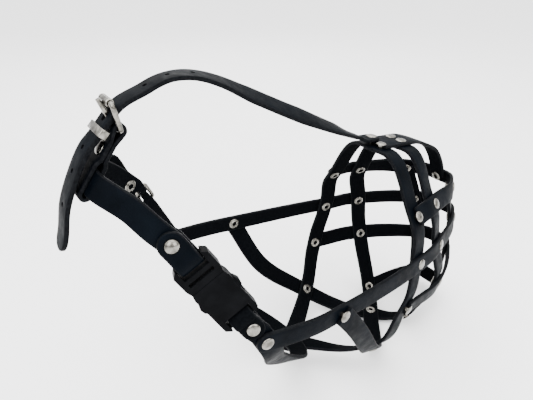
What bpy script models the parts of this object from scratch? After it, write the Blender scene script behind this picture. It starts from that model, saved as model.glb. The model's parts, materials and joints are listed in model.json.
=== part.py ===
"""A leather basket muzzle for a large dog: riveted straps, two roller buckles and a side-release clip.

The origin lies on the plane of symmetry, level with the main strap and under the nose ring.
+Z is up, the nose points to -Y, and +X is the dog's left. Tables of points are in millimetres, as
(sideways, forward, up), and place() turns them into metres in Blender's axes.
"""

import math
from collections import defaultdict

import bmesh
import bpy
from mathutils import Matrix, Vector

MM = 0.001

# Leather.
THICK = 3.0
GAP = 0.3
LAYER = THICK + GAP
STRAP = 16.0
LOOP_STRAP = 15.0
TRIMMED_STRAP = 14.0
NECK_STRAP = 16.0
TAB = 17.0
NOSE_PLATE = 25.0
FLAT = 7.0
BEND_STEPS = 3

# Rivets.
CAP_RADIUS = 4.6
CAP_HEIGHT = 1.3
DOME_RADIUS = 4.7
DOME_HEIGHT = 3.0
WASHER_RADIUS = 4.8
WASHER_HEIGHT = 1.0
SHANK_RADIUS = 1.6
HOLE_RADIUS = 2.0
CUT_REACH = 10.0
RIVET_SIDES = 12
SEAT = 0.15

# Roller buckles.
WIRE = 1.5
BUCKLE_LENGTH = 16.5
BUCKLE_INNER = 17.5
ROLLER_RADIUS = 2.5
BORE_RADIUS = 1.85
TONGUE_WIDTH = 3.0
TONGUE_THICK = 2.2
TONGUE_LENGTH = 19.5
TONGUE_TIP_RISE = 3.9
SLOT_REACH = 3.0
SLOT_WIDTH = 4.2
EYE_SLOT_REACH = 4.5

# Side-release clip.
CLIP_WIDTH = 26.0
CLIP_THICK = 9.6
CLIP_HALF = 28.0
CLIP_WALL = 1.6
SOCKET_TOP = 9.0
BAR = 3.0
CLIP_FROM_CHEEK = 27.0
CLIP_RIVET = -38.5
FOLD_RADIUS = 4.3
ARM_ROOT = 8.6
ARM_TIP = -11.0
ARM_THICK = 4.2


def place(sideways, forward, up):
    return Vector((sideways, -forward, up)) * MM


# The basket's rivet points on the dog's left: each ring strap's middle surface, from the bridge down.
NOSE_RING = {"upper": (50.8, 0, 40.4), "main": (60.5, 0, 0), "lower": (63, -10, -43), "jaw": (49, -30, -89)}
FRONT_RING = {"upper": (44.4, 29, 41), "main": (50.8, 37.6, 0), "lower": (51.7, 47, -45.6),
              "chin": (26, 43, -103)}
UPRIGHT = {"upper": (26, 77, 37), "main": (23, 94, -3), "lower": (18, 105, -48.6),
           "chin": (13.5, 107, -101)}
FRONT_CENTRE = {"upper": (0, 95.5, 33), "main": (0, 108, -5), "lower": (0, 114, -50), "chin": (0, 113, -101)}
BRIDGE_HALF = 6.0
NOSE_BRIDGE = (BRIDGE_HALF, -2, 87)
FRONT_BRIDGE = (BRIDGE_HALF, 23, 84.7)
BRIDGE_UP = Vector((0, -0.092, 1)).normalized()
CHIN_CROSS = (0, 21, -111)
THROAT = (0, -90, -92)
JAW_JOIN = (76.5, -102, 6)
CHEEK = (75, -166, 12)
CLIP_DOME = (-46, -213, 92)
BUCKLE_REAR = (48, -207, 92)
JAW_SAG = (64, -79, -44.5)
THROAT_SAG = (52, -142, -37)
BUCKLE_FROM_REAR = 18.0
INSIDE = place(0, 30, -20)

# The forehead strap's middle line, from its riveted end back over the head to its hanging tail.
FOREHEAD_LINE = [
    (6, -22, 100), (2, -46, 112), (0, -85, 131), (0, -129, 154), (0, -152, 166.5), (0, -170, 173),
    (0, -186, 174), (0, -200, 170),
]
FOREHEAD_ROLL = [0, 0.3, 0.6, 0.5, 0.25, 0.1, 0, 0]
FOREHEAD_TAIL = [(0, -240, 141.5), (0, -248, 129), (0, -257, 110), (0, -262.5, 89)]
FOREHEAD_HEEL = (0, -221, 150)
FOREHEAD_CROSSING = (0, -223.6, 158)
FOREHEAD_KEEPER = (0, -230.85, 150.4)
TAIL_WAY = Vector((0, 0.69, -0.72))
KEEPER_HALF = 9.4
KEEPER_WALL = 1.0
KEEPER_WIDTH = 5.0
FOREHEAD_HOLES = [(0, -170, 173), (0, -186, 174), (0, -240, 141.5), (0, -257, 110)]
NAPE_DOWN = (0, -0.6, -0.8)
NAPE_REACH = 34.0

SIDES = (("right", -1), ("left", 1))

holes = defaultdict(list)
materials = {}


def clear_scene():
    for item in list(bpy.data.objects):
        bpy.data.objects.remove(item, do_unlink=True)


def material(name, colour, roughness, metallic):
    if name not in materials:
        made = bpy.data.materials.new(name)
        made.use_nodes = True
        shader = made.node_tree.nodes["Principled BSDF"]
        shader.inputs["Base Color"].default_value = (*colour, 1)
        shader.inputs["Roughness"].default_value = roughness
        shader.inputs["Metallic"].default_value = metallic
        materials[name] = made
    return materials[name]


def leather():
    return material("black_leather", (0.012, 0.014, 0.018), 0.5, 0.0)


def nickel():
    return material("nickel_plate", (0.72, 0.70, 0.66), 0.22, 1.0)


def plastic():
    return material("black_plastic", (0.01, 0.01, 0.011), 0.38, 0.0)


def add_object(name, mesh_data, surface, smooth=False, pivot=None):
    """Makes an object of the mesh. A moving piece gets its origin and axes from the pivot."""
    mesh = bpy.data.meshes.new(name)
    bmesh.ops.recalc_face_normals(mesh_data, faces=mesh_data.faces)
    if pivot is not None:
        bmesh.ops.transform(mesh_data, matrix=pivot.inverted(), verts=mesh_data.verts)
    mesh_data.to_mesh(mesh)
    mesh_data.free()
    if smooth:
        mesh.shade_smooth()
    made = bpy.data.objects.new(name, mesh)
    made.data.materials.append(surface)
    bpy.context.scene.collection.objects.link(made)
    if pivot is not None:
        made.matrix_world = pivot
    return made


def hide_cutter(cutter):
    cutter.hide_render = True
    cutter.display_type = "WIRE"


def cut(target, cutter):
    hide_cutter(cutter)
    boolean = target.modifiers.new(cutter.name, "BOOLEAN")
    boolean.operation = "DIFFERENCE"
    boolean.solver = "EXACT"
    boolean.object = cutter


def join(target, helper):
    cut(target, helper)
    target.modifiers[helper.name].operation = "UNION"


def frame_matrix(origin, along, out):
    """Axes at a point: Y runs along, Z points out, and X completes them."""
    along = along.normalized()
    out = (out - along * out.dot(along)).normalized()
    across = along.cross(out)
    axes = Matrix((across, along, out)).transposed().to_4x4()
    axes.translation = origin
    return axes


def ellipse(radius, sides, height, half_turn=False):
    start = 0.5 if half_turn else 0
    return [(radius * math.cos(a), radius * math.sin(a), height)
            for a in (2 * math.pi * (step + start) / sides for step in range(sides))]


def add_loft(mesh, rings, axes, closed=False):
    """Skins a run of equal rings of points, given in millimetres in the axes."""
    rows = [[mesh.verts.new(axes @ (Vector(point) * MM)) for point in ring] for ring in rings]
    pairs = list(zip(rows, rows[1:]))
    if closed:
        pairs.append((rows[-1], rows[0]))
    else:
        mesh.faces.new(rows[0])
        mesh.faces.new(list(reversed(rows[-1])))
    for lower, upper in pairs:
        for i in range(len(lower)):
            j = (i + 1) % len(lower)
            mesh.faces.new((lower[i], upper[i], upper[j], lower[j]))


def add_box(mesh, low, high, axes):
    outline = ((high[0], high[1]), (low[0], high[1]), (low[0], low[1]), (high[0], low[1]))
    add_loft(mesh, [[(x, y, z) for x, y in outline] for z in (low[2], high[2])], axes)


# Rivets


def punch(straps, point, normal, radius=HOLE_RADIUS, along=None, reach=0.0):
    """Notes a hole. It is an oval as much longer than it is wide as twice the reach along the given way."""
    for strap_name in straps:
        holes[strap_name].append((point, normal, radius, along or normal.orthogonal(), reach))


def oval(radius, reach, height):
    """A circle in the XY plane, pulled apart along Y."""
    return [(x, y + math.copysign(reach, y), z) for x, y, z in ellipse(radius, 10, height, half_turn=True)]


def rivet(name, straps, base, normal, below, above, dome=False):
    """A rivet through leather that reaches below and above the base point along the normal."""
    normal = normal.normalized()
    punch(straps, base, normal)
    side = normal.orthogonal()
    axes = frame_matrix(base, side, normal)
    top = above + SEAT
    bottom = -below - SEAT
    radius = DOME_RADIUS if dome else CAP_RADIUS
    height = DOME_HEIGHT if dome else CAP_HEIGHT
    profile = [
        (WASHER_RADIUS * 0.75, bottom - WASHER_HEIGHT), (WASHER_RADIUS, bottom - WASHER_HEIGHT * 0.4),
        (WASHER_RADIUS, bottom), (SHANK_RADIUS, bottom), (SHANK_RADIUS, top), (radius, top),
        (radius, top + height * 0.35), (radius * 0.72, top + height * 0.85), (radius * 0.3, top + height),
    ]
    mesh = bmesh.new()
    add_loft(mesh, [ellipse(r, RIVET_SIDES, z) for r, z in profile], axes)
    add_object(name, mesh, nickel(), smooth=True)


# Straps


class Station:
    """A point that a strap's middle surface passes, the way it faces there, and how far it stays flat."""

    def __init__(self, point, normal, flat=FLAT):
        self.point = point
        self.normal = normal.normalized()
        self.flat = flat * MM
        self.width = None


def offset(station, distance, flat=None):
    moved = Station(station.point + station.normal * distance * MM, station.normal)
    moved.flat = station.flat if flat is None else flat * MM
    return moved


def frames_along(stations, closed):
    """Points and normals along a strap: straight through each station, and bent evenly between them."""
    count = len(stations)
    tangents = []
    for i, here in enumerate(stations):
        before = stations[(i - 1) % count if closed else max(i - 1, 0)]
        after = stations[(i + 1) % count if closed else min(i + 1, count - 1)]
        way = after.point - before.point
        way -= here.normal * way.dot(here.normal)
        tangents.append(way.normalized())
    frames = []
    for i, here in enumerate(stations):
        if here.flat and (closed or i > 0):
            frames.append((here.point - tangents[i] * here.flat, here.normal, tangents[i]))
        if not here.flat or closed or i in (0, count - 1):
            frames.append((here.point, here.normal, tangents[i]))
        if here.flat and (closed or i < count - 1):
            frames.append((here.point + tangents[i] * here.flat, here.normal, tangents[i]))
        if i == count - 1 and not closed:
            break
        after = stations[(i + 1) % count]
        start = here.point + tangents[i] * here.flat
        end = after.point - tangents[(i + 1) % count] * after.flat
        reach = (end - start).length
        for step in range(1, BEND_STEPS + 1):
            t = step / (BEND_STEPS + 1)
            lead = tangents[i] * reach
            arrive = tangents[(i + 1) % count] * reach
            point = (start * (2 * t**3 - 3 * t**2 + 1) + lead * (t**3 - 2 * t**2 + t)
                     + end * (3 * t**2 - 2 * t**3) + arrive * (t**3 - t**2))
            slope = (start * (6 * t**2 - 6 * t) + lead * (3 * t**2 - 4 * t + 1)
                     + end * (6 * t - 6 * t**2) + arrive * (3 * t**2 - 2 * t)).normalized()
            normal = here.normal.lerp(after.normal, t)
            normal = (normal - slope * normal.dot(slope)).normalized()
            frames.append((point, normal, slope))
    return frames


def rounded_end(frames, half_width, at_start):
    """Narrows the strap's last stretch to a round end."""
    point, normal, tangent = frames[0] if at_start else frames[-1]
    way = -tangent if at_start else tangent
    extra = []
    for angle in (40, 65, 82):
        turn = math.radians(angle)
        extra.append((point + way * half_width * math.sin(turn) * MM, normal, tangent,
                      half_width * math.cos(turn)))
    return extra


def strap(name, stations, width=STRAP, thick=THICK, closed=False, ends="square", width_at=None):
    frames = frames_along(stations, closed)
    half = width / 2
    rows = [(*frame, width_at(frame[0]) / 2 if width_at else half) for frame in frames]
    if ends in ("round", "round_start"):
        rows = list(reversed(rounded_end(frames, rows[0][3], True))) + rows
    if ends in ("round", "round_end"):
        rows = rows + rounded_end(frames, rows[-1][3], False)
    rings = []
    for point, normal, tangent, half_width in rows:
        across = tangent.cross(normal).normalized()
        corners = ((1, 1), (-1, 1), (-1, -1), (1, -1))
        rings.append([(point + across * half_width * MM * a + normal * thick / 2 * MM * b) / MM for a,
                      b in corners])
    mesh = bmesh.new()
    add_loft(mesh, rings, Matrix.Identity(4), closed)
    return add_object(name, mesh, leather())


def apply_holes():
    """Cuts each strap's rivet holes and buckle slots."""
    for name, punched in holes.items():
        cutters = bmesh.new()
        for point, normal, radius, along, reach in punched:
            axes = frame_matrix(point, along, normal)
            add_loft(cutters, [oval(radius, reach, -CUT_REACH), oval(radius, reach, CUT_REACH)], axes)
        cut(bpy.data.objects[name], add_object(name + "_holes", cutters, leather()))


def outward(point, first, second):
    normal = first.cross(second).normalized()
    return normal if normal.dot(point - INSIDE) > 0 else -normal


def mirrored(values, side):
    return place(values[0] * side, values[1], values[2])


def crossing_normals(side):
    """The way each basket crossing faces: square to the ring strap and to the loop strap that meet there."""
    normals = {}
    columns = {"nose": NOSE_RING, "front": FRONT_RING, "upright": UPRIGHT}
    bridges = {"nose": NOSE_BRIDGE, "front": FRONT_BRIDGE, "upright": UPRIGHT["upper"]}
    rows = ["upper", "main", "lower"]
    for column, points in columns.items():
        for row in rows:
            index = rows.index(row)
            foot = "jaw" if column == "nose" else "chin"
            above = bridges[column] if index == 0 else points[rows[index - 1]]
            below = points[rows[index + 1] if index < 2 else "lower" if column == "upright" else foot]
            ring_way = mirrored(above, side) - mirrored(below, side)
            behind = {"nose": None, "front": NOSE_RING, "upright": FRONT_RING}[column]
            ahead = {"nose": FRONT_RING, "front": UPRIGHT, "upright": FRONT_CENTRE}[column]
            rear = JAW_JOIN if row == "main" else points[row]
            start = mirrored(behind[row] if behind else rear, side)
            loop_way = mirrored(ahead[row], side) - start
            normals[column, row] = outward(mirrored(points[row], side), ring_way, loop_way)
    chin_ring = mirrored(FRONT_RING["lower"], side) - mirrored(CHIN_CROSS, side)
    chin_loop = mirrored(UPRIGHT["chin"], side) - mirrored(FRONT_RING["chin"], side)
    normals["front", "chin"] = outward(mirrored(FRONT_RING["chin"], side), chin_ring, chin_loop)
    upright_way = mirrored(UPRIGHT["lower"], side) - mirrored(UPRIGHT["chin"], side)
    chin_bend = mirrored(FRONT_CENTRE["chin"], side) - mirrored(FRONT_RING["chin"], side)
    normals["upright", "chin"] = outward(mirrored(UPRIGHT["chin"], side), upright_way, chin_bend)
    jaw_ring = mirrored(NOSE_RING["lower"], side) - mirrored(THROAT, side)
    jaw_cross = mirrored(JAW_JOIN, side) - mirrored(CHIN_CROSS, side)
    normals["nose", "jaw"] = outward(mirrored(NOSE_RING["jaw"], side), jaw_ring, jaw_cross)
    join_way = mirrored(NOSE_RING["main"], side) - mirrored(CHEEK, side)
    normals["join", "main"] = outward(mirrored(JAW_JOIN, side), join_way, Vector((0, 0, 1)))
    return normals


def basket_stations():
    """Every crossing's station on the ring strap's middle surface, by side, column and row."""
    stations = {}
    for side_name, side in SIDES:
        normals = crossing_normals(side)
        columns = {"nose": NOSE_RING, "front": FRONT_RING, "upright": UPRIGHT}
        for column, points in columns.items():
            for row, values in points.items():
                stations[side_name, column, row] = Station(mirrored(values, side), normals[column, row])
        stations[side_name, "join", "main"] = Station(mirrored(JAW_JOIN, side), normals["join", "main"], 12.5)
        stations[side_name, "nose", "bridge"] = Station(mirrored(NOSE_BRIDGE, side), BRIDGE_UP, 5.9)
        stations[side_name, "front", "bridge"] = Station(mirrored(FRONT_BRIDGE, side), BRIDGE_UP, 5.9)
    return stations


def main():
    clear_scene()
    basket = basket_stations()
    throat = Station(place(*THROAT), Vector((0, 0, -1)), 6)
    build_basket_rivets(basket, throat)
    build_rings(basket, throat)
    build_loops(basket)
    nose_strap(basket)
    clip = clip_axes()
    forehead = forehead_axes()
    cheek = cheek_axes()
    cheek_straps(basket, throat, clip, cheek)
    forehead_strap()
    forehead_tab()
    clip_tab(clip)
    neck_strap(clip, cheek)
    roller_buckle("forehead", forehead)
    roller_buckle("cheek", cheek)
    forehead_keeper()
    side_release_clip(clip)
    apply_holes()


def build_basket_rivets(basket, throat):
    ring_straps = {"nose": "nose_ring_strap", "front": "front_ring_strap"}
    loops = {"upper": "upper_strap", "main": "main_strap", "lower": "lower_strap", "chin": "chin_strap"}
    for side_name, _ in SIDES:
        for column in ("nose", "front", "upright"):
            ring = ring_straps.get(column, f"front_upright_{side_name}")
            for row in ("upper", "main", "lower", "chin"):
                here = basket.get((side_name, column, row))
                if here is None or (column, row) in (("upright", "lower"), ("upright", "chin")):
                    continue
                name = f"rivet_{column}_{row}_{side_name}"
                rivet(name, (ring, loops[row]), here.point, here.normal, THICK / 2, THICK / 2 + LAYER)
        join = basket[side_name, "join", "main"]
        rivet(f"rivet_jaw_join_{side_name}", ("main_strap", "front_ring_strap"), join.point, join.normal,
              THICK / 2, THICK / 2 + LAYER)
        jaw = basket[side_name, "nose", "jaw"]
        rivet(f"rivet_jaw_{side_name}", ("nose_ring_strap", "front_ring_strap"), jaw.point, jaw.normal,
              THICK / 2, THICK / 2 + LAYER)
    cross = place(*CHIN_CROSS)
    rivet("rivet_chin_cross", ("front_ring_strap",), cross, Vector((0, 0, -1)), LAYER / 2 + THICK / 2,
          LAYER / 2 + THICK / 2)
    rivet("rivet_throat", ("nose_ring_strap", "throat_strap"), throat.point, throat.normal,
          THICK / 2 + LAYER, THICK / 2 + LAYER)
    for side_name, _ in SIDES:
        extra = LAYER if side_name == "left" else 0
        here = basket[side_name, "nose", "bridge"]
        straps = ["nose_ring_strap", "nose_strap"] + (["forehead_strap"] if extra else [])
        rivet(f"rivet_bridge_rear_{side_name}", straps, here.point, here.normal, THICK / 2,
              THICK / 2 + LAYER + extra)
        here = basket[side_name, "front", "bridge"]
        rivet(f"rivet_bridge_front_{side_name}", ("front_ring_strap", "nose_strap"), here.point,
              here.normal, THICK / 2, THICK / 2 + LAYER)


def build_rings(basket, throat):
    """The two straps that ring the muzzle. Each is one strap, and its ends meet under the jaw."""
    nose = []
    for side_name, direction in (("right", 1), ("left", -1)):
        half = [basket[side_name, "nose", row] for row in ("jaw", "lower", "main", "upper", "bridge")]
        nose += half[::direction]
    lower_end = offset(throat, LAYER)
    strap("nose_ring_strap", [throat, *nose, lower_end], ends="round")

    cross = Station(place(*CHIN_CROSS), Vector((0, 0, -1)))
    front = []
    for side_name, direction in (("left", 1), ("right", -1)):
        half = [basket[side_name, "front", row] for row in ("chin", "lower", "main", "upper", "bridge")]
        front += half[::direction]
    arms = {}
    for side_name, side in SIDES:
        sag = Station(mirrored(JAW_SAG, side), Vector((side, 0, -0.25)), 0)
        join, jaw = basket[side_name, "join", "main"], basket[side_name, "nose", "jaw"]
        arms[side_name] = [offset(join, LAYER), *([sag] if side_name == "left" else []), offset(jaw, LAYER)]
    start, end = arms["right"], arms["left"][::-1]
    inner, outer = offset(cross, -LAYER / 2), offset(cross, LAYER / 2)
    strap("front_ring_strap", [*start, inner, *front, outer, *end])


def build_loops(basket):
    """The loops round the nose, the two front uprights and the chin strap."""
    forward = Vector((0, -1, 0))
    for row, name in (("upper", "upper_strap"), ("lower", "lower_strap"), ("chin", "chin_strap")):
        columns = ("front", "upright") if row == "chin" else ("nose", "front", "upright")
        right = [offset(basket["right", column, row], LAYER) for column in columns]
        left = [offset(basket["left", column, row], LAYER) for column in columns]
        centre = Station(place(*FRONT_CENTRE[row]), front_normal(basket, row, forward))
        strap(name, [*right, offset(centre, LAYER), *reversed(left)])
    main = []
    for side_name, side in SIDES:
        cheek = Station(mirrored(CHEEK, side), Vector((side, 0.12, 0)))
        half = [cheek, basket[side_name, "join", "main"]]
        half += [offset(basket[side_name, column, "main"], LAYER) for column in ("nose", "front",
                "upright")]
        main.append(half)
    centre = offset(Station(place(*FRONT_CENTRE["main"]), front_normal(basket, "main", forward)), LAYER)
    strap("main_strap", [*main[0], centre, *reversed(main[1])], width=LOOP_STRAP,
          ends="round")
    for side_name, _ in SIDES:
        rows = [basket[side_name, "upright", row] for row in ("upper", "main", "lower", "chin")]
        strap(f"front_upright_{side_name}", rows, width=LOOP_STRAP)


def front_normal(basket, row, forward):
    """The loops face forward at the middle, tipped as much as they are at the uprights."""
    side = basket["left", "upright", row].normal
    return forward + Vector((0, 0, side.z / max(abs(side.y), 0.3)))


def nose_strap(basket):
    """A wide plate over the bridge that narrows to a strap down the front of the nose."""
    plate_rear = offset(Station(place(0, *NOSE_BRIDGE[1:]), BRIDGE_UP, 8), LAYER)
    plate_front = offset(Station(place(0, *FRONT_BRIDGE[1:]), BRIDGE_UP), LAYER)
    bends = [Station(place(0, 56, 79), Vector((0, -0.45, 1)), 0), Station(place(0, 78, 66), Vector((0, -1,
            0.9)), 0)]
    foot = Station(place(0, FRONT_CENTRE["upper"][1] - 0.8, FRONT_CENTRE["upper"][2] + 1),
                   front_normal(basket, "upper", Vector((0, -1, 0))), 5)

    def width_at(point):
        narrowing = min(max((-point.y / MM - 34) / 16, 0), 1)
        return NOSE_PLATE + (STRAP - NOSE_PLATE) * narrowing

    strap("nose_strap", [plate_rear, plate_front, *bends, foot], width=NOSE_PLATE, width_at=width_at)


# Fittings: each has axes whose Y runs along the strap and whose Z points away from the dog


def clip_axes():
    """Half way up the right cheek, on the line from the basket to the neck strap."""
    low, high = mirrored(CHEEK, -1), place(*CLIP_DOME)
    along = (high - low).normalized()
    centre = low + along * (CLIP_FROM_CHEEK + CLIP_HALF) * MM
    return frame_matrix(centre, along, Vector((-1, 0.2, 0)))


def cheek_axes():
    """The left cheek's buckle: its heel bar is at the origin and its roller bar is nearer the basket."""
    low, high = mirrored(CHEEK, 1), place(*BUCKLE_REAR)
    along = (low - high).normalized()
    return frame_matrix(high + along * BUCKLE_FROM_REAR * MM, along, Vector((1, 0.2, 0)))


def forehead_axes():
    return frame_matrix(place(*FOREHEAD_HEEL), Vector((0, 0.17, 0.985)), Vector((0, 0.985, -0.17)))


def local(axes, y, z, out_y, out_z, flat=0.0, x=0.0):
    """A station given in a fitting's axes, with the way it faces."""
    turn = axes.to_3x3()
    return Station(axes @ (Vector((x, y, z)) * MM), turn @ Vector((0, out_y, out_z)), flat)


def nape_axes():
    heel = place(*FOREHEAD_HEEL)
    down = place(*NAPE_DOWN).normalized()
    return frame_matrix(heel, -down, Vector((0, 0.8, 0.6)))


def cheek_straps(basket, throat, clip, cheek):
    """The throat strap: it ends in a fold on the clip on the right, and in a punched billet on the left."""
    sags = {}
    for side_name, side in SIDES:
        sags[side_name] = Station(mirrored(THROAT_SAG, side), Vector((side, 0, -0.55)), 0)
        here = Station(mirrored(CHEEK, side), Vector((side, 0.12, 0)))
        rivet(f"rivet_cheek_{side_name}", ("main_strap", "throat_strap"), here.point, here.normal,
              THICK / 2 + LAYER, THICK / 2)
    cheeks = {name: offset(Station(mirrored(CHEEK, side), Vector((side, 0.12, 0))), -LAYER, 7) for name,
              side in SIDES}
    fold = BAR / 2 - CLIP_HALF
    leaf = FOLD_RADIUS
    ramp = 9
    fold_rivet = local(clip, CLIP_RIVET, 0, 0, 1)
    rivet("rivet_clip_lower", ("throat_strap",), fold_rivet.point, fold_rivet.normal, THICK + GAP / 2, THICK
          + GAP / 2)
    right = [
        local(clip, CLIP_RIVET, -LAYER / 2, 0, 1, 5.2), local(clip, fold - BAR / 2, -leaf, 0, 1),
        local(clip, fold + leaf, 0, -1, 0), local(clip, fold - BAR / 2, leaf, 0, -1),
        local(clip, CLIP_RIVET, LAYER / 2, 0, -1, 5.2),
    ]
    slot_y, slot_z = 7.3, 1.7
    left = [
        local(cheek, BUCKLE_LENGTH + ramp, -4.6, 0, 1),
        local(cheek, BUCKLE_LENGTH, -4.7, 0.15, 1),
        local(cheek, slot_y, slot_z, 0.72, 0.72, 2.2),
        local(cheek, -1.5, 7.4, 0.15, 1), local(cheek, -14, 6.9, 0, 1, 4), local(cheek, -34, 4.6, 0, 1, 4),
    ]
    start = offset(throat, -LAYER)
    route = [*reversed(right), cheeks["right"], sags["right"], start, sags["left"], cheeks["left"], *left]
    strap("throat_strap", route, ends="round")
    punch_slot("throat_strap", cheek, slot_y, slot_z)


def punch_slot(name, axes, y, z):
    """The oval hole that a buckle's tongue passes through."""
    turn = axes.to_3x3()
    across = turn @ Vector((1, 0, 0))
    normal = turn @ Vector((0, 0.72, 0.72)).normalized()
    along = normal.cross(across)
    punch((name,), axes @ (Vector((0, y, z)) * MM), normal, SLOT_WIDTH / 2, along, SLOT_REACH)


def forehead_strap():
    """From the bridge over the head, through the buckle, to a tail that hangs behind the nape."""
    up = Vector((0, 0, 1))
    end = offset(Station(place(*NOSE_BRIDGE), BRIDGE_UP, 9), 2 * LAYER)
    rising = [Station(place(*point), up, 0) for point in FOREHEAD_LINE]
    rolls = dict(zip(rising, FOREHEAD_ROLL))
    crossing = Station(place(*FOREHEAD_CROSSING), Vector((0, 0.72, 0.69)), 3)
    kept = Station(place(*FOREHEAD_KEEPER), Vector((0, 0.72, 0.69)), 3.5)
    falling = [Station(place(*point), Vector((0, 1, 0.3)), 0) for point in FOREHEAD_TAIL]
    route = [end, *rising, crossing, kept, *falling]
    for before, here, after in zip(route, route[1:], route[2:]):
        if here.flat:
            continue
        way = after.point - before.point
        here.normal = Vector((1, 0, 0)).cross(way).normalized()
        here.normal = here.normal if here.normal.dot(Vector((0, 1, 1))) > 0 else -here.normal
        here.normal = (here.normal - Vector((rolls.get(here, 0), 0, 0))).normalized()
    route[-1].normal = route[-2].normal
    for point in FOREHEAD_HOLES:
        nearest = min(route, key=lambda here: (here.point - place(*point)).length)
        punch(("forehead_strap",), place(*point), nearest.normal, 1.5)
    punch(("forehead_strap",), crossing.point, crossing.normal, SLOT_WIDTH / 2, TAIL_WAY, SLOT_REACH)

    def width_at(point):
        """Trimmed where it passes between the bridge rivets."""
        return TRIMMED_STRAP + (STRAP - TRIMMED_STRAP) * min(max(point.y / MM - 8, 0) / 20, 1)

    strap("forehead_strap", route, ends="round", width_at=width_at)


def forehead_tab():
    """A closed band that holds the buckle's heel bar at one end and slides on the neck strap at the other."""
    nape = nape_axes()
    thick = 2.5
    eye = WIRE + GAP + thick / 2
    sleeve = THICK / 2 + GAP + thick / 2
    pinch = (thick + GAP) / 2
    low, high = NAPE_REACH + NECK_STRAP / 2 + 0.4, NAPE_REACH - NECK_STRAP / 2 - 2
    pinch_y = -14.5
    rivet_at = local(nape, pinch_y, 0, 0, 1)
    rivet("rivet_forehead_tab", ("forehead_tab",), rivet_at.point, rivet_at.normal, pinch + thick / 2, pinch
          + thick / 2)
    turn = nape.to_3x3()
    route = [
        local(nape, 0, eye, 0, 1), local(nape, pinch_y, pinch, 0, 1, 4.6), local(nape, -high, sleeve, 0, 1),
        local(nape, -low, sleeve, 0, 1), local(nape, -low - sleeve, 0, -1, 0),
        local(nape, -low, -sleeve, 0, -1), local(nape, -high, -sleeve, 0, -1),
        local(nape, pinch_y, -pinch, 0, -1, 4.6), local(nape, 0, -eye, 0, -1), local(nape, eye, 0, 1, 0),
    ]
    strap("forehead_tab", route, width=TAB, thick=thick, closed=True)
    eye_slot = nape @ (Vector((0, EYE_SLOT_REACH - 2.5, 0)) * MM)
    punch(("forehead_tab",), eye_slot, turn @ Vector((0, 0, 1)), SLOT_WIDTH / 2, turn @ Vector((0, 1, 0)),
          EYE_SLOT_REACH)


def clip_tab(clip):
    """The round-ended leather tab that wraps the clip's upper bar and takes the end of the neck strap."""
    fold = CLIP_HALF - BAR / 2
    leaf = FOLD_RADIUS
    end = (place(*CLIP_DOME) - clip.translation).dot(clip.to_3x3() @ Vector((0, 1, 0))) / MM
    dome = local(clip, end, 0, 0, 1)
    rivet("rivet_clip_upper", ("clip_tab", "neck_strap"), dome.point, dome.normal, THICK / 2 + LAYER,
          THICK / 2 + LAYER, dome=True)
    route = [
        local(clip, end, LAYER, 0, 1, 6), local(clip, fold + 1.5, leaf, 0, 1), local(clip, fold - leaf, 0,
                -1, 0),
        local(clip, fold + 1.5, -leaf, 0, -1), local(clip, end, -LAYER, 0, -1, 6),
    ]
    strap("clip_tab", route, width=TAB, ends="round")


def neck_strap(clip, cheek):
    """Round the back of the neck, from the clip's tab to a fold on the left cheek's buckle."""
    nape = nape_axes()
    turn = clip.to_3x3()
    middle = local(nape, -NAPE_REACH, 0, 0, 1, 10)
    right_end = Station(place(*CLIP_DOME), turn @ Vector((0, 0, 1)), 11)
    right_bend = Station(place(-32, -229.5, 113), Vector((-0.75, 0.6, 0.35)), 0)
    left_bend = Station(place(29, -229, 114), Vector((0.75, 0.6, 0.35)), 0)
    leaf = WIRE + GAP + THICK / 2
    pin = local(cheek, -13, 0, 0, 1)
    rivet("rivet_cheek_buckle", ("neck_strap",), pin.point, pin.normal, THICK + GAP / 2, THICK + GAP / 2)
    fold = [
        local(cheek, -13, -LAYER / 2, 0, 1, 5), local(cheek, 0, -leaf, 0, 1), local(cheek, leaf, 0, -1, 0),
        local(cheek, 0, leaf, 0, -1), local(cheek, -13, LAYER / 2, 0, -1, 5),
    ]
    strap("neck_strap", [right_end, right_bend, middle, left_bend, *fold], width=NECK_STRAP,
          ends="round_start")
    across = cheek.to_3x3()
    eye_slot = cheek @ (Vector((0, EYE_SLOT_REACH - 2.5, 0)) * MM)
    punch(("neck_strap",), eye_slot, across @ Vector((0, 0, 1)), SLOT_WIDTH / 2,
          across @ Vector((0, 1, 0)), EYE_SLOT_REACH)


def rod_ring(mesh, axes, half_x, low_y, high_y, radius, corner):
    """A rounded rectangle of wire in the axes' XY plane."""
    centres = ((half_x, high_y), (-half_x, high_y), (-half_x, low_y), (half_x, low_y))
    inner = ((-corner, -corner), (corner, -corner), (corner, corner), (-corner, corner))
    rings = []
    for turn, ((x, y), (dx, dy)) in enumerate(zip(centres, inner)):
        for angle in (0, 45, 90):
            way = math.radians(turn * 90 + angle)
            middle = Vector((x + dx + corner * math.cos(way), y + dy + corner * math.sin(way), 0))
            side = Vector((math.cos(way), math.sin(way), 0))
            rings.append([middle + side * radius * math.cos(a) + Vector((0, 0, radius * math.sin(a)))
                          for a in (2 * math.pi * step / 8 for step in range(8))])
    add_loft(mesh, rings, axes, closed=True)


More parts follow.
